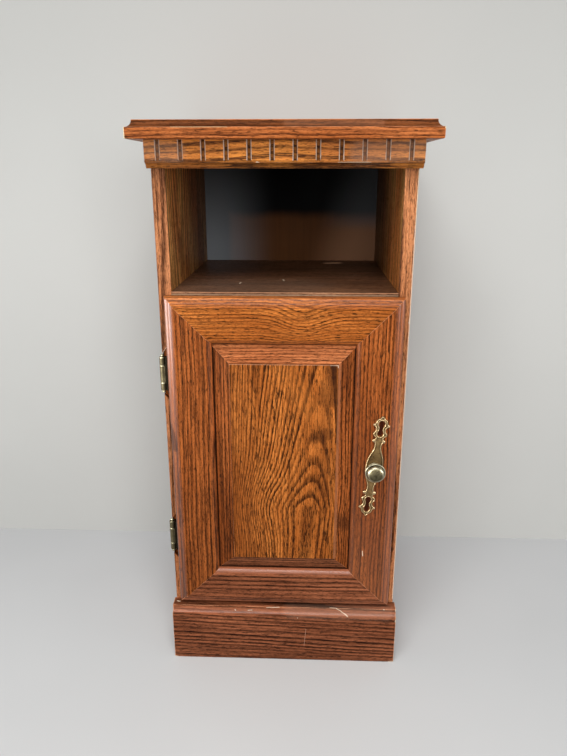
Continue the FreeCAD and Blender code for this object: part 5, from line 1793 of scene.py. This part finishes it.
@dataclass
class Backplate:
    """The pierced backplate, drawn upright about the knob's axis and then set at its tilt."""

    across: float = 115.0
    back: float = -147.0
    height: float = 302.5
    thickness: float = 2.0
    tilt: float = 7.0
    ear_side: float = 6.0
    ear_offset: float = 36.2
    ear_radius: float = 2.3
    horn_side: float = 9.2
    horn_offset: float = 57.6
    horn_radius: float = 1.8
    bore: float = 2.05
    spacing: float = 0.62
    field_rise: float = 1.05
    edge_rise: float = 0.35
    edge_round: float = 0.8
    rim_rise: float = 0.5
    rim_place: float = 0.9
    rim_width: float = 0.55
    dirt_place: float = 2.0
    dirt_width: float = 0.6
    outline: tuple[Span, ...] = (
        (10.7, 5.5), (9.6, 12.0), (7.4, 18.5), (5.2, 24.0), (4.5, 28.0), (4.7, 32.0), (5.6, 34.0),
        (7.4, 34.4), (8.2, 36.2), (7.4, 38.1), (5.6, 38.6), (4.9, 40.2), (6.0, 41.6), (8.2, 43.4),
        (8.9, 45.2), (8.3, 47.4), (6.8, 49.4), (6.2, 51.6), (6.9, 54.0), (8.6, 55.8), (10.4, 57.0),
        (10.3, 58.2), (8.4, 59.4), (7.4, 61.4), (6.9, 63.4), (5.6, 65.2), (3.9, 66.2), (2.6, 67.4),
        (1.6, 69.2))
    bulge: float = 10.9
    tip: float = 69.8
    piercing: tuple[Span, ...] = (
        (1.8, 43.0), (3.2, 44.4), (3.7, 46.2), (3.1, 48.4), (2.2, 50.6), (2.0, 52.8), (2.4, 55.0),
        (3.4, 57.0), (3.9, 59.2), (3.4, 61.4), (2.0, 63.2))
    piercing_ends: Span = (42.4, 63.9)

    def smooth(self, points: Sequence[Span], steps: int) -> list[Vector]:
        """Runs a smooth closed curve through points.

        Args:
            points: The points in order.
            steps: How many runs there are between two points.

        Returns:
            The curve's points.
        """
        places = [Vector(point) for point in points]
        curve = []
        for index in range(len(places)):
            a, b, c, d = (places[(index + shift) % len(places)] for shift in (-1, 0, 1, 2))
            for step in range(steps):
                t = step / steps
                curve.append(0.5 * ((2 * b) + (c - a) * t + (2 * a - 5 * b + 4 * c - d) * t * t
                                    + (3 * b - a - 3 * c + d) * t ** 3))
        return curve

    def loops(self) -> list[list[Vector]]:
        """Draws the outer outline, the two piercings and the bore.

        Returns:
            The closed curves.
        """
        right = [(self.bulge, 0.0), *self.outline, (0.0, self.tip)]
        upper = right + [(-x, z) for x, z in reversed(right[:-1])]
        outer = upper + [(x, -z) for x, z in reversed(upper[1:-1])]
        near, far = self.piercing_ends
        hole = [(0.0, near), *self.piercing, (0.0, far)]
        hole += [(-x, z) for x, z in reversed(self.piercing)]
        turns = [math.radians(turn) for turn in range(0, 360, 20)]
        return [self.smooth(outer, 4), self.smooth(hole, 3),
                self.smooth([(x, -z) for x, z in hole], 3),
                [Vector((self.bore * math.cos(turn), self.bore * math.sin(turn)))
                 for turn in turns]]

    def relief(self, spot: Vector, away: float) -> tuple[float, float, float]:
        """Says how high, how worn and how dirty the plate's face is.

        Args:
            spot: The place on the upright plate.
            away: Its distance from the nearest edge.

        Returns:
            The height above the plate's back, the wear and the dirt.
        """
        side, along = abs(spot.x), abs(spot.y)
        rounding = math.sqrt(max(0.0, 1.0 - (1.0 - min(away / self.edge_round, 1.0)) ** 2))
        rim = math.exp(-((away - self.rim_place) / self.rim_width) ** 2)
        height = self.field_rise + self.edge_rise * rounding + self.rim_rise * rim
        worn = 0.08 + 0.72 * rim
        dirt_and_shade = 0.6 * math.exp(-((away - self.dirt_place) / self.dirt_width) ** 2)
        ear = math.hypot(side - self.ear_side, along - self.ear_offset) / self.ear_radius
        horn = math.hypot(side - self.horn_side, along - self.horn_offset) / self.horn_radius
        for ball in (ear, horn):
            if ball < 1.0:
                height = max(height, 1.0 + math.sqrt(1.0 - ball * ball))
                worn = max(worn, 0.9 - ball * 0.3)
                dirt_and_shade *= 0.3
        return min(height, self.thickness), worn, dirt_and_shade

    def build(self, brass: Material) -> None:
        """Builds the plate, with raised rims, round ears and a sunk field.

        Args:
            brass: Its finish.
        """
        loops = self.loops()
        rim = kdtree.KDTree(sum(len(loop) for loop in loops))
        places: list[Vector] = []
        bounds: list[tuple[int, int]] = []
        for loop in loops:
            start = len(places)
            places += loop
            bounds += [(start + i, start + (i + 1) % len(loop)) for i in range(len(loop))]
        for index, spot in enumerate(places):
            rim.insert((spot.x, spot.y, 0.0), index)
        rim.balance()
        rows = math.ceil(self.tip / self.spacing)
        columns = math.ceil(self.bulge / self.spacing)
        for row in range(-rows, rows + 1):
            for column in range(-columns, columns + 1):
                spot = Vector((column + 0.5 * (row % 2), row)) * self.spacing
                if rim.find((spot.x, spot.y, 0.0))[2] > 0.36 and inside(spot, loops):
                    places.append(spot)
        flat, _, triangles, *_ = geometry.delaunay_2d_cdt(places, bounds, [], 0, 1e-5)
        kept = [face for face in triangles
                if inside(sum((flat[i] for i in face), Vector((0.0, 0.0))) / 3, loops)]
        turn = Matrix.Rotation(math.radians(self.tilt), 3, "Y")
        centre = Vector((self.across, self.back, self.height))
        form = Form()
        fronts, backs = [], []
        for spot in flat:
            rise, worn, dirt_and_shade = self.relief(spot, rim.find((spot.x, spot.y, 0.0))[2])
            upright = centre + turn @ Vector((spot.x, 0.0, spot.y))
            fronts.append(form.add_point(upright - Vector((0.0, rise, 0.0)), worn, dirt_and_shade))
            # The back is darkened, so the side walls shade towards it: painted shade.
            backs.append(form.add_point(upright, 0.0, 0.6))
        uses = Counter(frozenset(pair) for face in kept
                       for pair in zip(face, (*face[1:], face[0])))
        for face in kept:
            form.faces.append(tuple(fronts[i] for i in face))
            form.faces.append(tuple(backs[i] for i in reversed(face)))
            for one, two in zip(face, (*face[1:], face[0])):
                if uses[frozenset((one, two))] == 1:
                    form.faces.append((fronts[two], fronts[one], backs[one], backs[two]))
        form.build("knob_backplate_brass", "door", "antique_brass", "knob_backplate", brass, 50.0)


def inside(spot: Vector, loops: Sequence[Sequence[Vector]]) -> bool:
    """Says whether a place lies inside the first loop and outside the others.

    Args:
        spot: The place.
        loops: Closed curves.

    Returns:
        Whether it does.
    """
    odd = False
    for loop in loops:
        before = loop[-1]
        for point in loop:
            if (point.y > spot.y) != (before.y > spot.y):
                cross = point.x + (spot.y - point.y) * (before.x - point.x) / (before.y - point.y)
                if spot.x < cross:
                    odd = not odd
            before = point
    return odd


@dataclass
class Hinge:
    """A butt hinge: the case leaf has the two outer knuckles, the door leaf the middle one."""

    name: str
    middle: float
    axis_across: float = -153.0
    axis_deep: float = -124.25
    length: float = 44.0
    knuckle: float = 10.5
    gap: float = 0.3
    radius: float = 3.75
    leaf: float = 1.5
    clearance: float = 0.6
    case_width: float = 14.6
    door_width: float = 24.0
    case_leaf_front: float = -121.6
    door_leaf_front: float = -128.0
    tip_radius: float = 2.2
    pin_radius: float = 1.5
    pin_play: float = 0.05

    def about_axis(self, across: float, deep: float, rise: float) -> Vector:
        """Places a point that is turned about the hinge's axis."""
        return Vector((self.axis_across + across, self.axis_deep + deep, rise))

    def build_leaf(self, node: str, body: str, knuckles: Sequence[Span],
                   plate_front: float, width: float, brass: Material) -> None:
        """Builds one leaf.

        Args:
            node: The solid that it stands for.
            body: The body that it moves with.
            knuckles: The lower and upper end of each knuckle.
            plate_front: The front of the plate.
            width: From the axis to the plate's edge.
            brass: The finish.
        """
        form = Form()
        start = self.axis_across + self.radius + self.clearance
        plate_back = plate_front + self.leaf
        low, high = self.middle - self.length / 2, self.middle + self.length / 2
        # The plate is black beside the knuckle, painted shade in the gap there, and a little darker
        # elsewhere.
        form.slab((start - 0.01, plate_front, low), (self.axis_across + width, plate_back, high),
                  0.3, 0.4, lambda place: 0.94 if place.x < start + 5.0 else 0.15, 2.4)
        end = ((self.pin_radius + self.pin_play, 0.0, 0.0), (self.radius - 0.5, 0.0, 0.3),
               (self.radius - 0.12, 0.14, 1.0), (self.radius, 0.5, 1.0),
               (self.radius, 1.2, 0.15))
        for foot, head in knuckles:
            profile = [Corner(across, foot + rise, 0.0, wear) for across, rise, wear in end]
            profile += [Corner(across, head - rise, 0.0, wear)
                        for across, rise, wear in reversed(end)]
            form.turning(profile, self.about_axis, 36, True)
            # The web beside the knuckle is darkened as painted shade in the gap.
            form.slab((self.axis_across + self.radius * 0.55, plate_front, foot + 0.02),
                      (start + 0.5, plate_back, head - 0.02), 0.2, 0.0,
                      lambda place: 0.9 if place.x > self.axis_across + self.radius else 0.3)
        form.build(node + "_brass", body, "antique_brass", node, brass, 40.0)

    def build(self, brass: Material) -> None:
        """Builds both leaves and the pin.

        Args:
            brass: Their finish.
        """
        low, high = self.middle - self.length / 2, self.middle + self.length / 2
        outer = [(low, low + self.knuckle), (high - self.knuckle, high)]
        inner = [(low + self.knuckle + self.gap, high - self.knuckle - self.gap)]
        self.build_leaf("hinge_case_leaf_" + self.name, "cabinet", outer, self.case_leaf_front,
                        self.case_width, brass)
        self.build_leaf("hinge_door_leaf_" + self.name, "door", inner, self.door_leaf_front,
                        self.door_width, brass)
        lift = math.sqrt(self.tip_radius ** 2 - self.pin_radius ** 2)
        lower = bend(0.0, low - lift, self.tip_radius, -90.0, 43.0, 9)
        upper = bend(0.0, high + lift, self.tip_radius, -43.0, 90.0, 9)
        shaft = [Corner(self.pin_radius - 0.02, low), Corner(self.pin_radius - 0.02, high)]
        form = Form()
        form.turning([replace(point, wear=1.0) for point in lower] + shaft
                     + [replace(point, wear=1.0) for point in upper], self.about_axis, 28)
        form.build("hinge_pin_" + self.name + "_brass", "cabinet", "antique_brass",
                   "hinge_pin_" + self.name, brass, 50.0)


@dataclass
class Fittings:
    """The metal, plastic and plain wooden pieces that keep their own solids."""

    brass: tuple[str, ...] = ("hinge_case_screws", "hinge_door_screws")
    steel: tuple[str, ...] = (
        "top_screws", "back_panel_nails", "cornice_pins", "plinth_pins", "catch_screws",
        "strike_screw", "strike_plate", "catch_pole_plates", "knob_screw")
    bare: tuple[str, ...] = ("plinth_glue_blocks", "door_mitre_splines")

    def dress(self, nodes: dict[str, Object], brass: Material) -> None:
        """Gives every fitting its finish.

        Args:
            nodes: The solids by name.
            brass: The hinge screws' finish.
        """
        steel = PlainFinish("zinc plated steel", painted(176, 176, 172), painted(138, 138, 136),
                            1.0, 0.3, 0.45)
        pine = PlainFinish("bare softwood", painted(206, 176, 130), painted(180, 146, 100), 0.0,
                           0.6, 0.8, (220.0, 220.0, 12.0))
        board = BackBoardWithPaintedLight()
        plastic = PlainFinish("brown plastic", painted(72, 44, 28), painted(60, 36, 24), 0.0,
                              0.4, 0.5)
        ferrite = PlainFinish("ferrite", painted(52, 52, 54), painted(38, 38, 40), 0.2, 0.5, 0.7)
        groups = ((self.steel, steel), (self.bare, pine), (("back_panel",), board),
                  (("catch_case",), plastic), (("catch_magnet",), ferrite))
        for names, finish in groups:
            material = finish.material()
            for name in names:
                put_on(nodes[name], material)
        for name in self.brass:
            put_on(nodes[name], brass)
        LOG.info("dressed the fittings")


@dataclass(frozen=True)
class Lamp:
    """A soft rectangular lamp, which may be one that only gloss shows."""

    name: str
    place: Place
    aim: Place
    size: Span
    power: float
    gloss_only: bool = False

    def hang(self) -> None:
        """Hangs the lamp."""
        light = bpy.data.lights.new(self.name, "AREA")
        light.shape = "RECTANGLE"
        light.size, light.size_y = self.size
        light.energy = self.power
        lamp = bpy.data.objects.new(self.name, light)
        lamp.location = self.place
        aim = Vector(self.aim) - Vector(self.place)
        lamp.rotation_euler = aim.to_track_quat("-Z", "Y").to_euler()
        lamp.visible_diffuse = not self.gloss_only
        lamp.visible_camera = False
        bpy.context.scene.collection.objects.link(lamp)


@dataclass
class Studio:
    """The floor, the backdrop, the lamps and the camera, in metres."""

    floor_radius: float = 4.0
    floor_fade: Span = (1.0, 3.8)
    wall_place: float = 0.181
    wall_half: float = 3.0
    wall_height: float = 3.2
    wall_dusk: Span = (0.45, 1.15)
    wall_dusk_level: float = 0.66
    floor_colour: Colour = painted(216, 217, 216)
    wall_colour: Colour = painted(204, 204, 200)
    sky_colour: Colour = painted(214, 214, 212)
    light_colour: Colour = painted(222, 222, 224)
    light_strength: float = 0.45
    camera_place: Place = (0.02656, -0.88507, 0.65958)
    camera_pitch: float = 17.97
    camera_turn: float = 2.07
    lens: float = 30.305
    lamps: tuple[Lamp, ...] = (
        Lamp("lamp above", (-0.15, -1.12, 1.8), (0.0, -0.1, 0.35), (1.2, 0.8), 24.0),
        Lamp("lamp front", (0.25, -1.9, 0.95), (0.0, 0.0, 0.5), (1.4, 0.7), 15.0),
        Lamp("lamp left", (-1.05, -0.85, 0.42), (-0.14, -0.14, 0.42), (1.3, 0.6), 36.0, True),
        Lamp("lamp right", (1.10, -0.85, 0.56), (0.14, -0.14, 0.45), (1.0, 0.6), 19.0, True))

    def build(self) -> None:
        """Builds the whole studio."""
        self.build_floor()
        self.build_wall()
        self.build_world()
        for lamp in self.lamps:
            lamp.hang()
        self.build_camera()
        bpy.context.scene.view_settings.view_transform = "Standard"
        LOG.info("built the studio")

    def cloudy(self, graph: Graph, shader: Node, colour: Colour) -> Socket:
        """Gives a pale surface faint clouds.

        Args:
            graph: The material's graph.
            shader: Its shader.
            colour: Its lighter colour.

        Returns:
            The place on the surface.
        """
        place = graph.place()
        cloud = graph.noise(place, (1.8, 1.8, 1.8), 3.0)
        darker = tuple(level * 0.94 for level in colour)
        graph.fill(shader, {"Base Color": graph.mix(graph.ease(cloud, 0.3, 0.7), colour, darker),
                            "Roughness": 0.9, "Specular IOR Level": 0.2})
        return place

    def add_surface(self, name: str, shape: bmesh.types.BMesh, material: Material) -> None:
        """Adds a piece of the studio, which isn't part of the cabinet.

        Args:
            name: Its name.
            shape: Its shape, which is used up.
            material: Its material.
        """
        mesh = bpy.data.meshes.new(name)
        shape.to_mesh(mesh)
        shape.free()
        surface = bpy.data.objects.new(name, mesh)
        bpy.context.scene.collection.objects.link(surface)
        put_on(surface, material)

    def seen_directly(self, graph: Graph) -> Socket:
        """Says whether a ray comes from the camera, straight or by way of gloss or glass.

        Args:
            graph: The material's or the world's graph.

        Returns:
            1 if it does and 0 if it doesn't.
        """
        ray = graph.add("ShaderNodeLightPath")
        return graph.math("MAXIMUM", ray.outputs["Is Camera Ray"], graph.math(
            "MAXIMUM", ray.outputs["Is Glossy Ray"], ray.outputs["Is Transmission Ray"]))

    def build_floor(self) -> None:
        """Builds a round pale floor that fades out at its rim."""
        material, graph, shader = new_material("pale floor")
        place = self.cloudy(graph, shader, self.floor_colour)
        reach = graph.vector("LENGTH", place).outputs[1]
        graph.feed(shader.inputs["Alpha"], graph.ease(reach, *self.floor_fade, 1.0, 0.0))
        shape = bmesh.new()
        bmesh.ops.create_circle(shape, cap_ends=True, radius=self.floor_radius, segments=96)
        self.add_surface("floor", shape, material)

    def build_wall(self) -> None:
        """Builds a pale wall behind the cabinet, seen from its front alone."""
        material, graph, shader = new_material("pale wall")
        place = self.cloudy(graph, shader, self.wall_colour)
        height = graph.split(place)[2]
        # Painted shade: the wall darkens towards its top.
        pale = shader.inputs["Base Color"].links[0].from_socket
        dim = tuple(level * self.wall_dusk_level for level in self.wall_colour)
        graph.feed(shader.inputs["Base Color"],
                   graph.mix(graph.ease(height, *self.wall_dusk), pale, dim))
        back = graph.add("ShaderNodeNewGeometry").outputs["Backfacing"]
        graph.feed(shader.inputs["Alpha"],
                   graph.times(self.seen_directly(graph), graph.minus(1.0, back)))
        shape = bmesh.new()
        corners = [(-self.wall_half, 0.0), (self.wall_half, 0.0),
                   (self.wall_half, self.wall_height), (-self.wall_half, self.wall_height)]
        shape.faces.new([shape.verts.new((across, self.wall_place, height))
                         for across, height in corners])
        self.add_surface("wall", shape, material)

    def build_world(self) -> None:
        """Lights the scene evenly and shows a pale backdrop."""
        world = bpy.data.worlds.new("surroundings")
        bpy.context.scene.world = world
        world.use_nodes = True
        world.node_tree.nodes.clear()
        graph = Graph(world.node_tree)
        pale = graph.add("ShaderNodeBackground")
        graph.fill(pale, {"Color": self.sky_colour})
        lit = graph.add("ShaderNodeBackground")
        graph.fill(lit, {"Color": self.light_colour, "Strength": self.light_strength})
        both = graph.add("ShaderNodeMixShader")
        graph.feed(both.inputs[0], self.seen_directly(graph))
        graph.feed(both.inputs[1], lit.outputs[0])
        graph.feed(both.inputs[2], pale.outputs[0])
        graph.feed(graph.add("ShaderNodeOutputWorld").inputs["Surface"], both.outputs[0])

    def build_camera(self) -> None:
        """Sets up the camera."""
        data = bpy.data.cameras.new("camera")
        data.lens = self.lens
        data.sensor_width = 36.0
        data.clip_start = 0.01
        camera = bpy.data.objects.new("camera", data)
        camera.location = self.camera_place
        camera.rotation_euler = (math.radians(90.0 - self.camera_pitch), 0.0,
                                 math.radians(self.camera_turn))
        bpy.context.scene.collection.objects.link(camera)
        bpy.context.scene.camera = camera


def main() -> None:
    """Builds every sub-assembly in turn."""
    logging.basicConfig(level=logging.INFO, format="%(name)s: %(message)s")
    nodes = frame["nodes"]
    effects = Effects()
    brass = AgedBrass().material(effects)
    pewter = AgedBrass("greyed brass", painted(176, 169, 144), painted(90, 83, 62),
                       painted(46, 40, 29)).material(effects)
    dull = AgedBrass("dull hinge brass", painted(166, 158, 128), painted(92, 84, 62),
                     painted(46, 39, 27)).material(effects)
    Studio().build()
    TableTop().build(effects)
    Cornice().build(effects)
    Plinth().build(effects)
    Carcass().dress(nodes, effects)
    Door().build(effects)
    for hinge in (Hinge("upper", 417.0), Hinge("lower", 184.5)):
        hinge.build(dull)
    Knob().build(pewter)
    Backplate().build(brass)
    Fittings().dress(nodes, brass)
    bpy.context.view_layer.update()


if __name__ == "__main__":
    main()
